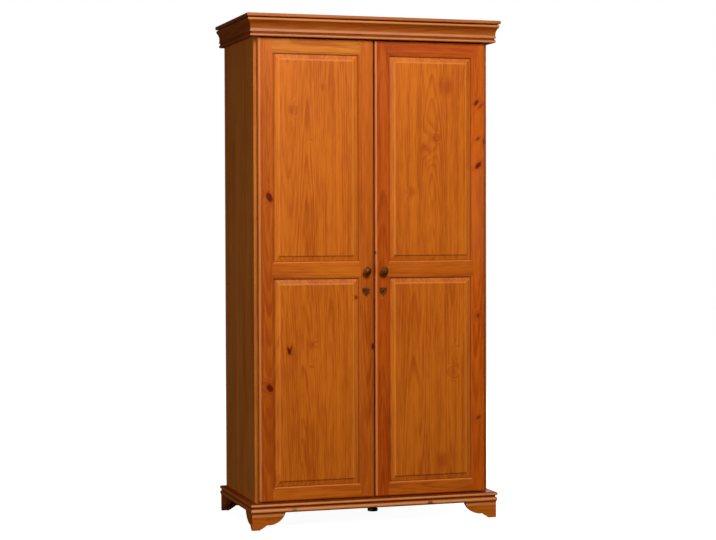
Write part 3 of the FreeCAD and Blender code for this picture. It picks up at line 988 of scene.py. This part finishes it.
def put_heads(
    name: str,
    head: CrossScrew | DomePin,
    seats: Iterable[Seat],
    material: bpy.types.Material,
    body: str,
) -> None:
    """Make one piece of many fixings' heads, which rides on a body.

    Args:
        name: Name of the piece.
        head: Kind of fixing.
        seats: Where the fixings sit, in frame metres.
        material: Their material.
        body: Body that the piece rides on.
    """
    mesh = bmesh.new()
    for seat in seats:
        head.add_to(mesh, seat)
    data = bpy.data.meshes.new(name)
    bmesh.ops.recalc_face_normals(mesh, faces=mesh.faces)
    mesh.to_mesh(data)
    mesh.free()
    data.materials.append(material)
    piece = bpy.data.objects.new(name, data)
    bpy.context.scene.collection.objects.link(piece)
    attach(piece, body)
    log.info("built %s on %s", name, body)


def spaced(start: float, end: float, pitch: float) -> list[float]:
    """Spread places evenly between two ends.

    Args:
        start: First end.
        end: Second end.
        pitch: Distance wanted between the places.

    Returns:
        The places, with half a step left at both ends.
    """
    count = round((end - start) / pitch)
    return [start + (index + 0.5) * (end - start) / count for index in range(count)]


@dataclass
class Carcass:
    """Sides, boards, back and inside fittings that make up the fixed box."""

    side_stave: float = 0.082
    board_stave: float = 0.105
    pole_heart: Heart = Heart(0.004, 0.003, 0.01)
    nailed_boards: tuple[str, ...] = ("rear_plinth_rail", "bottom_panel", "hat_shelf", "top_panel")
    nail_pitch: float = 0.145
    nail_inset: float = 0.009
    nail: DomePin = DomePin(radius=0.0030, proud=0.0009)
    screw: CrossScrew = CrossScrew(radius=0.0036)
    socket_flange: float = 0.004
    socket_turn: float = 0.4
    batten_width: float = 0.020
    batten_screws: tuple[float, ...] = (0.12, 0.5, 0.88)
    batten_turn: float = 2.0

    def boards(self) -> list[Board]:
        """List the wooden nodes of the box.

        Returns:
            The boards, each with its grain and tone.
        """
        made: list[Board] = []
        for hand in Hand:
            side = f"{hand.word}_side_panel"
            made.append(Board(side, Lay.SIDE_UPRIGHT, Tone.HONEY, self.side_stave))
        for node in ("top_panel", "bottom_panel", "hat_shelf"):
            made.append(Board(node, Lay.FLAT, Tone.GOLDEN, self.board_stave))
        for node in ("header_rail", "front_plinth_rail", "rear_plinth_rail"):
            made.append(Board(node, Lay.FRONT_LEVEL))
        made.append(Board("shelf_battens", Lay.SIDE_LEVEL))
        made.append(Board("hanging_rail", Lay.FLAT, Tone.GOLDEN, heart=self.pole_heart))
        return made

    def dress(self) -> None:
        """Finish the box's nodes."""
        PINE.dress(self.boards())
        hardboard = HARDBOARD.material()
        for hand in Hand:
            put_on(f"{hand.word}_back_panel", hardboard)
        put_on("back_joining_strip", STRIP.material())
        put_on("rail_sockets", STEEL.material())
        put_on("pivot_sockets", DULL_STEEL.material())

    def build(self) -> None:
        """Drive the back's nails and the inside's screws."""
        self.nail_back()
        self.screw_sockets()
        self.screw_battens()

    def nail_back(self) -> None:
        """Nail both back panels to the boards and sides round their edges."""
        seats: list[Seat] = []
        for hand in Hand:
            low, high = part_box(f"{hand.word}_back_panel")
            edge = hand.inset(low, high, self.nail_inset / 2)
            for level in spaced(low.z, high.z, self.nail_pitch):
                seats.append(Seat(Vector((edge, high.y, level)), TO_BACK))
            for board in self.nailed_boards:
                under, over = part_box(board)
                for across in spaced(low.x, high.x, self.nail_pitch):
                    point = Vector((across, high.y, (under.z + over.z) / 2))
                    seats.append(Seat(point, TO_BACK))
        put_heads("back_nails", self.nail, seats, STEEL.material(), "carcass")

    def screw_sockets(self) -> None:
        """Screw the hanging rail's sockets to the sides."""
        seats: list[Seat] = []
        low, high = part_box("rail_sockets")
        pole_low, pole_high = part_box("hanging_rail")
        centre = (pole_low + pole_high) / 2
        spread = ((high.z - low.z) + (pole_high.z - pole_low.z)) / 4 + self.screw.radius / 2
        for hand in Hand:
            face = hand.inset(low, high, self.socket_flange)
            for way in (-1, 1):
                point = Vector((face, centre.y, centre.z + way * spread))
                seats.append(Seat(point, hand.inward, way * self.socket_turn))
        put_heads("rail_socket_screws", self.screw, seats, STEEL.material(), "carcass")

    def screw_battens(self) -> None:
        """Screw the shelf battens to the sides."""
        seats: list[Seat] = []
        low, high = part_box("shelf_battens")
        for hand in Hand:
            face = hand.inset(low, high, self.batten_width)
            for share in self.batten_screws:
                back = low.y + share * (high.y - low.y)
                point = Vector((face, back, (low.z + high.z) / 2))
                seats.append(Seat(point, hand.inward, self.batten_turn * share))
        put_heads("batten_screws", self.screw, seats, STEEL.material(), "carcass")


@dataclass
class Moulding:
    """Mitred mouldings along the front and both sides, fixed from inside."""

    # Strips are painted highlights on the beads and painted shade in the quirks; on the side
    # returns the highlights are cut to a share and a broad painted shade is added
    strips: tuple[Strip, ...]
    side_wear: float
    side_grime: Strip

    def boards(self, kind: str, tone: Tone, knots: tuple[Knot, ...] = ()) -> list[Board]:
        """List the front moulding and the two side ones.

        Args:
            kind: Word for them in the nodes' names.
            tone: Their stain tone.
            knots: Knots of the front one.

        Returns:
            The three boards.
        """
        # The side returns get a broad painted shade and fainter painted highlights
        sides = (self.side_grime, *(strip.faded(self.side_wear) for strip in self.strips))
        front = f"front_{kind}"
        made = [
            Board(front, Lay.FRONT_LEVEL, tone, knots=knots, strips=self.strips, moulded=True)
        ]
        for hand in Hand:
            side = f"{hand.word}_{kind}"
            made.append(Board(side, Lay.SIDE_LEVEL, tone, strips=sides, moulded=True))
        return made

    def build(self) -> None:
        """Fixings from inside don't show, so nothing is added."""
        log.info("%s has no shown fixings", type(self).__name__.lower())


@dataclass
class Cornice(Moulding):
    """Cap board and the mouldings under it."""

    # Painted highlights on the foot bead, the lower scotia and the upper bead; painted shade in the
    # quirk, on the scotia's top and under the cap
    strips: tuple[Strip, ...] = (
        Strip(1.8695, 0.0050, pale=0.65),
        Strip(1.8775, 0.0045, dark=0.75),
        Strip(1.8870, 0.0090, pale=0.43),
        Strip(1.9140, 0.0140, dark=0.15),
        Strip(1.9285, 0.0050, pale=0.56),
        Strip(1.9360, 0.0025, dark=0.80),
    )
    side_wear: float = 0.10
    # Broad painted shade over the side returns
    side_grime: Strip = Strip(1.9050, 0.2000, dark=0.35)
    cap_heart: Heart = Heart(0.05, 0.06, 0.01)
    # Painted highlight along the cap's front edge
    cap_strips: tuple[Strip, ...] = (Strip(1.9440, 0.0060, pale=0.30),)

    def dress(self) -> None:
        """Finish the cap and the mouldings."""
        cap = Board(
            "cap_board", Lay.FLAT, Tone.UMBER, heart=self.cap_heart, strips=self.cap_strips
        )
        PINE.dress([cap, *self.boards("cornice", Tone.UMBER)])


@dataclass
class Base(Moulding):
    """Base mouldings, bracket feet and the adjustable foot under the middle."""

    # Painted shade under the moulding, in its quirk and on its top ledge; painted highlights on
    # both beads
    strips: tuple[Strip, ...] = (
        Strip(0.0640, 0.0045, dark=0.60),
        Strip(0.0735, 0.0065, pale=1.00),
        Strip(0.0835, 0.0050, dark=0.70),
        Strip(0.0930, 0.0055, pale=1.00),
        Strip(0.1005, 0.0040, dark=0.95),
    )
    side_wear: float = 0.20
    # Broad painted shade over the side returns
    side_grime: Strip = Strip(0.0800, 0.2000, dark=0.30)
    knots: tuple[Knot, ...] = (
        Knot(-0.331, 0.072, 0.008, 1.5, dark=0.45),
        Knot(0.218, 0.072, 0.008, 1.6, dark=0.75),
    )
    foot_tones: tuple[Tone, Tone] = (Tone.AMBER, Tone.GOLDEN)
    # Feet: darker all over, a dark and a pale line, and painted shadow under the moulding
    foot_strips: tuple[Strip, ...] = (
        Strip(0.0300, 0.2000, dark=0.12),
        Strip(0.0450, 0.0050, dark=0.25),
        Strip(0.0545, 0.0065, pale=0.65),
        Strip(0.0625, 0.0050, dark=0.65),
    )
    # Painted shade over the front feet's side returns and over the rear feet
    return_strips: tuple[Strip, ...] = (Strip(0.0300, 0.2000, dark=0.35),)
    rear_strips: tuple[Strip, ...] = (Strip(0.0300, 0.2000, dark=0.75),)

    def dress(self) -> None:
        """Finish the mouldings and the feet."""
        made = self.boards("base_moulding", Tone.AMBER, self.knots)
        made.append(Board("foot_corner_blocks", Lay.FRONT_UPRIGHT))
        for end, face, side in (
            ("front", self.foot_strips, self.return_strips),
            ("rear", self.rear_strips, self.rear_strips),
        ):
            for hand, tone in zip(Hand, self.foot_tones):
                foot = f"{end}_{hand.word}_foot"
                made.append(Board(f"{foot}_face", Lay.FRONT_LEVEL, tone, strips=face))
                made.append(Board(f"{foot}_return", Lay.SIDE_LEVEL, tone, strips=side))
        PINE.dress(made)
        put_on("centre_foot", BLACK_PLASTIC.material())


@dataclass
class Door:
    """One frame-and-panel door with its pivots, knob and keyhole plate."""

    hand: Hand
    panel_stave: float
    glue_line: float
    stile_tone: Tone
    meeting_tone: Tone
    rail_tones: tuple[Tone, Tone, Tone]
    foot_shade: float
    # Upright strips along the stiles: painted highlights on arrises and painted shade at gaps,
    # sight edges and shaded edges
    hinge_strips: tuple[Strip, ...]
    meeting_strips: tuple[Strip, ...]
    stile_knots: tuple[Knot, ...]
    meeting_knots: tuple[Knot, ...]
    lower_knots: tuple[Knot, ...]
    upper_knots: tuple[Knot, ...]
    upper_heart: Heart | None = None
    # Painted shadow along the door's bottom edge, over the base
    foot_grime: Strip = Strip(0.1040, 0.0060, dark=0.70)
    # A dark knot painted on the meeting stile where the keyhole is: painted shade of the hole
    keyhole: Knot = Knot(0.898, 0.0345, 0.0065, 1.6, dark=1.0, stain=0.0)
    pivot_screws: tuple[float, ...] = (0.021, 0.036)
    pivot_turn: float = 30.0
    screw: CrossScrew = CrossScrew(radius=0.0030, proud=0.0002, sunk=0.0004, recess=0.0006)
    pin: DomePin = DomePin()
    pin_inset: float = 0.0045
    plate_collar: float = 0.0008

    @property
    def body(self) -> str:
        """Name of the body that the door's pieces ride on."""
        return f"{self.hand.word}_door"

    def boards(self) -> list[Board]:
        """List the door's wooden nodes.

        Returns:
            The boards, each with its grain, tone and knots.
        """
        word = self.hand.word
        # Put the keyhole's painted shade on this door's side
        keyhole = replace(self.keyhole, across=self.hand.value * self.keyhole.across)
        made = [
            Board(
                f"{word}_hinge_stile",
                Lay.FRONT_UPRIGHT,
                self.stile_tone,
                knots=self.stile_knots,
                strips=(self.foot_grime, *self.hinge_strips),
                foot_shade=self.foot_shade,
            ),
            Board(
                f"{word}_meeting_stile",
                Lay.FRONT_UPRIGHT,
                self.meeting_tone,
                knots=(keyhole, *self.meeting_knots),
                strips=(self.foot_grime, *self.meeting_strips),
            ),
        ]
        for rail, tone in zip(("bottom", "middle", "top"), self.rail_tones):
            node = f"{word}_{rail}_rail"
            made.append(Board(node, Lay.FRONT_LEVEL, tone, strips=(self.foot_grime,)))
        for panel, heart, knots in (
            ("lower", None, self.lower_knots),
            ("upper", self.upper_heart, self.upper_knots),
        ):
            made.append(Board(
                f"{word}_{panel}_panel",
                Lay.FRONT_UPRIGHT,
                Tone.GOLDEN,
                0.0 if heart else self.panel_stave,
                self.glue_line,
                heart,
                knots,
                PanelRim(),
            ))
        return made

    def dress(self) -> None:
        """Finish the door's wood and metal."""
        PINE.dress(self.boards())
        bronze = BRONZE.material()
        for part in ("knob", "keyhole_plate"):
            put_on(f"{self.hand.word}_{part}", bronze)
        put_on(f"{self.hand.word}_door_pivots", DULL_STEEL.material())

    def build(self) -> None:
        """Add the pivot plates' screws and the keyhole plate's pins."""
        door_low, door_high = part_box(f"{self.hand.word}_hinge_stile")
        header_low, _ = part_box("header_rail")
        _, plinth_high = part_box("front_plinth_rail")
        self.screw_pivots("door", self.body, door_high.z, door_low.z)
        self.screw_pivots("socket", "carcass", plinth_high.z, header_low.z)
        self.pin_plate()

    def screw_pivots(self, kind: str, body: str, floor: float, ceiling: float) -> None:
        """Screw down the plates of one kind at the door's hinge edge.

        Args:
            kind: Word for the plates in the piece's name.
            body: Body that carries them.
            floor: Level of the plate that looks up.
            ceiling: Level of the plate that looks down.
        """
        seats: list[Seat] = []
        low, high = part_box(f"{self.hand.word}_door_pivots")
        for reach in self.pivot_screws:
            place = (self.hand.inset(low, high, reach), (low.y + high.y) / 2)
            for level, way in ((floor, 1), (ceiling, -1)):
                point = Vector((*place, level))
                seats.append(Seat(point, Vector((0, 0, way)), self.pivot_turn * reach))
        name = f"{self.hand.word}_{kind}_pivot_screws"
        put_heads(name, self.screw, seats, DULL_STEEL.material(), body)

    def pin_plate(self) -> None:
        """Pin the keyhole plate at its top and bottom."""
        low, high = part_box(f"{self.hand.word}_keyhole_plate")
        face = low.y + self.plate_collar
        centre = (low.x + high.x) / 2
        levels = (high.z - self.pin_inset, low.z + self.pin_inset)
        seats = [Seat(Vector((centre, face, level)), TO_FRONT) for level in levels]
        name = f"{self.hand.word}_keyhole_plate_pins"
        put_heads(name, self.pin, seats, BRONZE.material(), self.body)


def left_door() -> Door:
    """Describe the left door's wood.

    Returns:
        The door.
    """
    return Door(
        Hand.LEFT,
        panel_stave=0.094,
        glue_line=-0.296,
        stile_tone=Tone.AMBER,
        meeting_tone=Tone.AMBER,
        rail_tones=(Tone.GOLDEN, Tone.GOLDEN, Tone.STRAW),
        foot_shade=0.30,
        # Painted highlight on the outer arris, then a painted shade line
        hinge_strips=(
            Strip(-0.4550, 0.0050, pale=0.45, upright=True),
            Strip(-0.4465, 0.0045, dark=0.25, upright=True),
        ),
        # Painted shade at the panel's sight edge, a broad darker band, and the gap's painted shadow
        meeting_strips=(
            Strip(-0.0625, 0.0040, dark=0.45, upright=True),
            Strip(-0.0120, 0.0200, dark=0.14, upright=True),
            Strip(-0.0015, 0.0030, dark=0.60, upright=True),
        ),
        stile_knots=(
            Knot(1.2595, -0.418, 0.014, 1.55, 0.3),
            Knot(0.536, -0.4185, 0.015, 1.15, 0.3),
        ),
        meeting_knots=(Knot(0.685, -0.0075, 0.008, 1.8, dark=0.9, stain=0.5),),
        lower_knots=(
            Knot(0.673, -0.3410, 0.0080, 1.8, 0.10),
            Knot(0.680, -0.3455, 0.0050, 2.8, 0.25, dark=0.80),
            Knot(0.682, -0.3345, 0.0050, 2.6, -0.30, dark=0.65),
            Knot(0.6965, -0.253, 0.011, 1.0, dark=0.1, stain=0.4),
            Knot(0.614, -0.254, 0.007, 0.5, dark=0.20, stain=0.3),
            Knot(0.875, -0.0732, 0.008, 1.0, dark=0.6),
        ),
        upper_knots=(
            Knot(1.680, -0.205, 0.007, 1.4, dark=0.18, stain=0.3),
            Knot(1.590, -0.328, 0.009, 1.6, dark=0.2, stain=0.35),
            Knot(1.479, -0.253, 0.007, 0.5, dark=0.15, stain=0.2),
        ),
    )


def right_door() -> Door:
    """Describe the right door's wood.

    Returns:
        The door.
    """
    return Door(
        Hand.RIGHT,
        panel_stave=0.108,
        glue_line=0.180,
        stile_tone=Tone.COPPER,
        meeting_tone=Tone.RUSSET,
        rail_tones=(Tone.AMBER, Tone.AMBER, Tone.RUSSET),
        foot_shade=0.12,
        # Painted shade at the panel's sight edge and over the shaded outer edge; then a lighter
        # band and a darker band along the stile
        hinge_strips=(
            Strip(0.4000, 0.0040, dark=0.45, upright=True),
            Strip(0.4620, 0.0140, dark=0.85, upright=True),
            Strip(1.2000, 0.3000, pale=0.07),
            Strip(1.7200, 0.2000, dark=0.09),
        ),
        # The gap's painted shadow, a painted highlight on the arris beside it, and a darker band
        meeting_strips=(
            Strip(0.0020, 0.0025, dark=0.50, upright=True),
            Strip(0.0080, 0.0047, pale=0.55, upright=True),
            Strip(0.0185, 0.0080, dark=0.20, upright=True),
        ),
        stile_knots=(
            Knot(1.631, 0.421, 0.009, 1.5, -0.5, dark=0.85),
            Knot(1.618, 0.438, 0.005, 2.5, -0.8, dark=0.45),
            Knot(1.490, 0.427, 0.007, 1.2, -0.6, dark=0.60),
            Knot(1.480, 0.455, 0.007, 2.2, dark=0.60),
            Knot(1.386, 0.429, 0.012, 1.3, -0.6, dark=0.90),
            Knot(0.7965, 0.428, 0.007, dark=0.50, stain=0.6),
            Knot(0.3955, 0.430, 0.008, 1.0, -0.6, dark=0.55, stain=0.5),
        ),
        meeting_knots=(Knot(1.0475, 0.0040, 0.005, 1.5, dark=0.85),),
        lower_knots=(
            Knot(0.643, 0.331, 0.008, 2.4, dark=0.0, stain=0.0),
            Knot(0.577, 0.3225, 0.010, 1.5, dark=0.05, stain=0.3),
            Knot(0.233, 0.276, 0.016, 1.3, dark=0.12, stain=0.45),
        ),
        upper_knots=(
            Knot(1.690, 0.299, 0.020, 1.2, dark=0.10, stain=0.42),
            Knot(1.491, 0.249, 0.009, 1.4, dark=0.15, stain=0.4),
            Knot(1.444, 0.224, 0.008, 1.4, dark=0.1, stain=0.35),
            Knot(1.471, 0.228, 0.014, 2.7, dark=0.0, stain=0.0),
            Knot(1.281, 0.1535, 0.010, 1.4, dark=0.05, stain=0.35),
        ),
        upper_heart=Heart(0.006, 0.045, 0.07),
    )


@dataclass
class DoorFastenings:
    """Lock, keep and surface bolt on the doors' backs and edges."""

    screw: CrossScrew = CrossScrew(radius=0.0028, proud=0.0003)
    lock_inset: Spot = (0.006, 0.006)
    guide_inset: Spot = (0.0038, 0.0235)
    guide_plate: float = 0.0015
    turn_across: float = 90.0
    turn_up: float = 40.0

    def dress(self) -> None:
        """Finish the steel pieces."""
        steel = STEEL.material()
        for node in ("lock_case", "lock_bolt", "bolt_guide", "surface_bolt"):
            put_on(node, steel)
        put_on("lock_keep", DULL_STEEL.material())

    def build(self) -> None:
        """Add the screws that hold the lock and the bolt's guide."""
        self.screw_plate("lock_case", "right_door", 0.0, self.lock_inset)
        self.screw_plate("bolt_guide", "left_door", self.guide_plate, self.guide_inset)

    def screw_plate(self, node: str, body: str, proud: float, inset: Spot) -> None:
        """Screw a plate on a door's back at its four corners.

        Args:
            node: Node of the plate.
            body: Door that carries it.
            proud: How far its face stands off the door's back.
            inset: Distance of the screws from the plate's upright edges and from its ends.
        """
        seats: list[Seat] = []
        low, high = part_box(node)
        _, door_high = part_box("right_meeting_stile")
        face = door_high.y + proud
        aside, end = inset
        for x in (low.x + aside, high.x - aside):
            for z in (low.z + end, high.z - end):
                turn = self.turn_across * x + self.turn_up * z
                seats.append(Seat(Vector((x, face, z)), TO_BACK, turn))
        put_heads(f"{node}_screws", self.screw, seats, STEEL.material(), body)


@dataclass(frozen=True)
class SoftLight:
    """A rectangular studio light that looks at a point."""

    name: str
    place: Point
    target: Point
    width: float
    height: float
    watts: float
    sheen_only: bool = False

    def build(self) -> None:
        """Hang the light."""
        lamp = bpy.data.lights.new(self.name, "AREA")
        lamp.shape = "RECTANGLE"
        lamp.size = self.width
        lamp.size_y = self.height
        lamp.energy = self.watts
        light = bpy.data.objects.new(self.name, lamp)
        light.location = self.place
        aim = Vector(self.target) - Vector(self.place)
        light.rotation_euler = aim.to_track_quat("-Z", "Y").to_euler()
        light.visible_diffuse = not self.sheen_only
        bpy.context.scene.collection.objects.link(light)
        log.info("hung %s", self.name)


@dataclass
class Studio:
    """Pale floor, white surroundings, soft lights and the camera."""

    floor_half: float = 9.0
    floor_drop: float = 0.0003
    floor_colour: Colour = (0.55, 0.55, 0.55)
    floor_gloss: float = 0.9
    floor_glow: float = 0.955
    floor_fade: Span = (0.5, 2.2)
    ambient: float = 0.02
    camera_place: Point = (-2.115, -6.680, 1.168)
    camera_yaw: float = 17.610
    camera_pitch: float = -1.584
    camera_roll: float = -0.150
    camera_lens: float = 88.57
    lights: tuple[SoftLight, ...] = (
        SoftLight("key_light", (-0.3, -3.5, 3.4), (0.0, -0.2, 1.2), 1.4, 1.8, 135.0),
        SoftLight("fill_light", (-4.5, -2.8, 0.7), (-0.4, 0.1, 0.7), 2.0, 1.2, 66.0),
        SoftLight("edge_light", (-3.6, -2.6, 1.0), (-0.2, -0.2, 1.0), 0.6, 2.0, 6.0, True),
        SoftLight("bead_light", (1.1, -3.5, 3.3), (0.1, -0.2, 1.0), 1.8, 0.7, 18.0, True),
        SoftLight("back_light", (2.6, 3.8, 2.9), (0.2, 0.2, 1.0), 2.0, 2.0, 90.0),
        SoftLight("right_light", (4.5, 0.9, 1.6), (0.5, 0.1, 1.0), 2.0, 2.0, 70.0),
    )

    def build(self) -> None:
        """Set up the whole studio."""
        self.lay_floor()
        self.light_world()
        for light in self.lights:
            light.build()
        self.aim_camera()
        bpy.context.scene.view_settings.view_transform = "Standard"

    def lay_floor(self) -> None:
        """Lay a plain pale floor that doesn't throw light back up at the object."""
        mesh = bmesh.new()
        bmesh.ops.create_grid(mesh, x_segments=1, y_segments=1, size=self.floor_half)
        data = bpy.data.meshes.new("floor")
        mesh.to_mesh(data)
        mesh.free()
        bench = NodeBench("pale_floor")
        place = bench.add("ShaderNodeTexCoord").outputs["Object"]
        reach = bench.add("ShaderNodeVectorMath", operation="LENGTH")
        bench.feed(reach.inputs[0], place)
        glow = bench.ramp(reach.outputs["Value"], *self.floor_fade, self.floor_glow, 1.0)
        data.materials.append(bench.surface(
            Base_Color=(*self.floor_colour, 1.0),
            Roughness=self.floor_gloss,
            Emission_Color=(*WHITE, 1.0),
            Emission_Strength=glow,
        ))
        floor = bpy.data.objects.new("floor", data)
        floor.location.z = -self.floor_drop
        floor.visible_diffuse = False
        floor.visible_glossy = False
        bpy.context.scene.collection.objects.link(floor)
        log.info("laid the floor")

    def light_world(self) -> None:
        """Show white round the object and light it only a little from there."""
        world = bpy.data.worlds.new("studio")
        world.use_nodes = True
        tree = world.node_tree
        tree.nodes.clear()
        path = tree.nodes.new("ShaderNodeLightPath")
        level = tree.nodes.new("ShaderNodeMapRange")
        level.inputs["To Min"].default_value = self.ambient
        tree.links.new(path.outputs["Is Camera Ray"], level.inputs["Value"])
        glow = tree.nodes.new("ShaderNodeBackground")
        glow.inputs["Color"].default_value = (*WHITE, 1.0)
        tree.links.new(level.outputs[0], glow.inputs["Strength"])
        output = tree.nodes.new("ShaderNodeOutputWorld")
        tree.links.new(glow.outputs[0], output.inputs["Surface"])
        bpy.context.scene.world = world

    def aim_camera(self) -> None:
        """Set the camera at the photograph's view."""
        angles = (self.camera_yaw, self.camera_pitch, self.camera_roll)
        yaw, pitch, roll = (math.radians(angle) for angle in angles)
        level = math.cos(pitch)
        ahead = Vector((math.sin(yaw) * level, math.cos(yaw) * level, math.sin(pitch)))
        aside = Vector((math.cos(yaw), -math.sin(yaw), 0.0))
        above = aside.cross(ahead)
        right = aside * math.cos(roll) + above * math.sin(roll)
        up = above * math.cos(roll) - aside * math.sin(roll)
        data = bpy.data.cameras.new("camera")
        data.lens = self.camera_lens
        camera = bpy.data.objects.new("camera", data)
        turn = Matrix((right, up, -ahead)).transposed().to_4x4()
        camera.matrix_world = Matrix.Translation(self.camera_place) @ turn
        bpy.context.scene.collection.objects.link(camera)
        bpy.context.scene.camera = camera


def main() -> None:
    """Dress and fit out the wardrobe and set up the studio."""
    logging.basicConfig(level=logging.INFO, format="%(name)s: %(message)s")
    for part in (Carcass(), Cornice(), Base(), left_door(), right_door(), DoorFastenings()):
        part.dress()
        part.build()
    Studio().build()


if __name__ == "__main__":
    main()
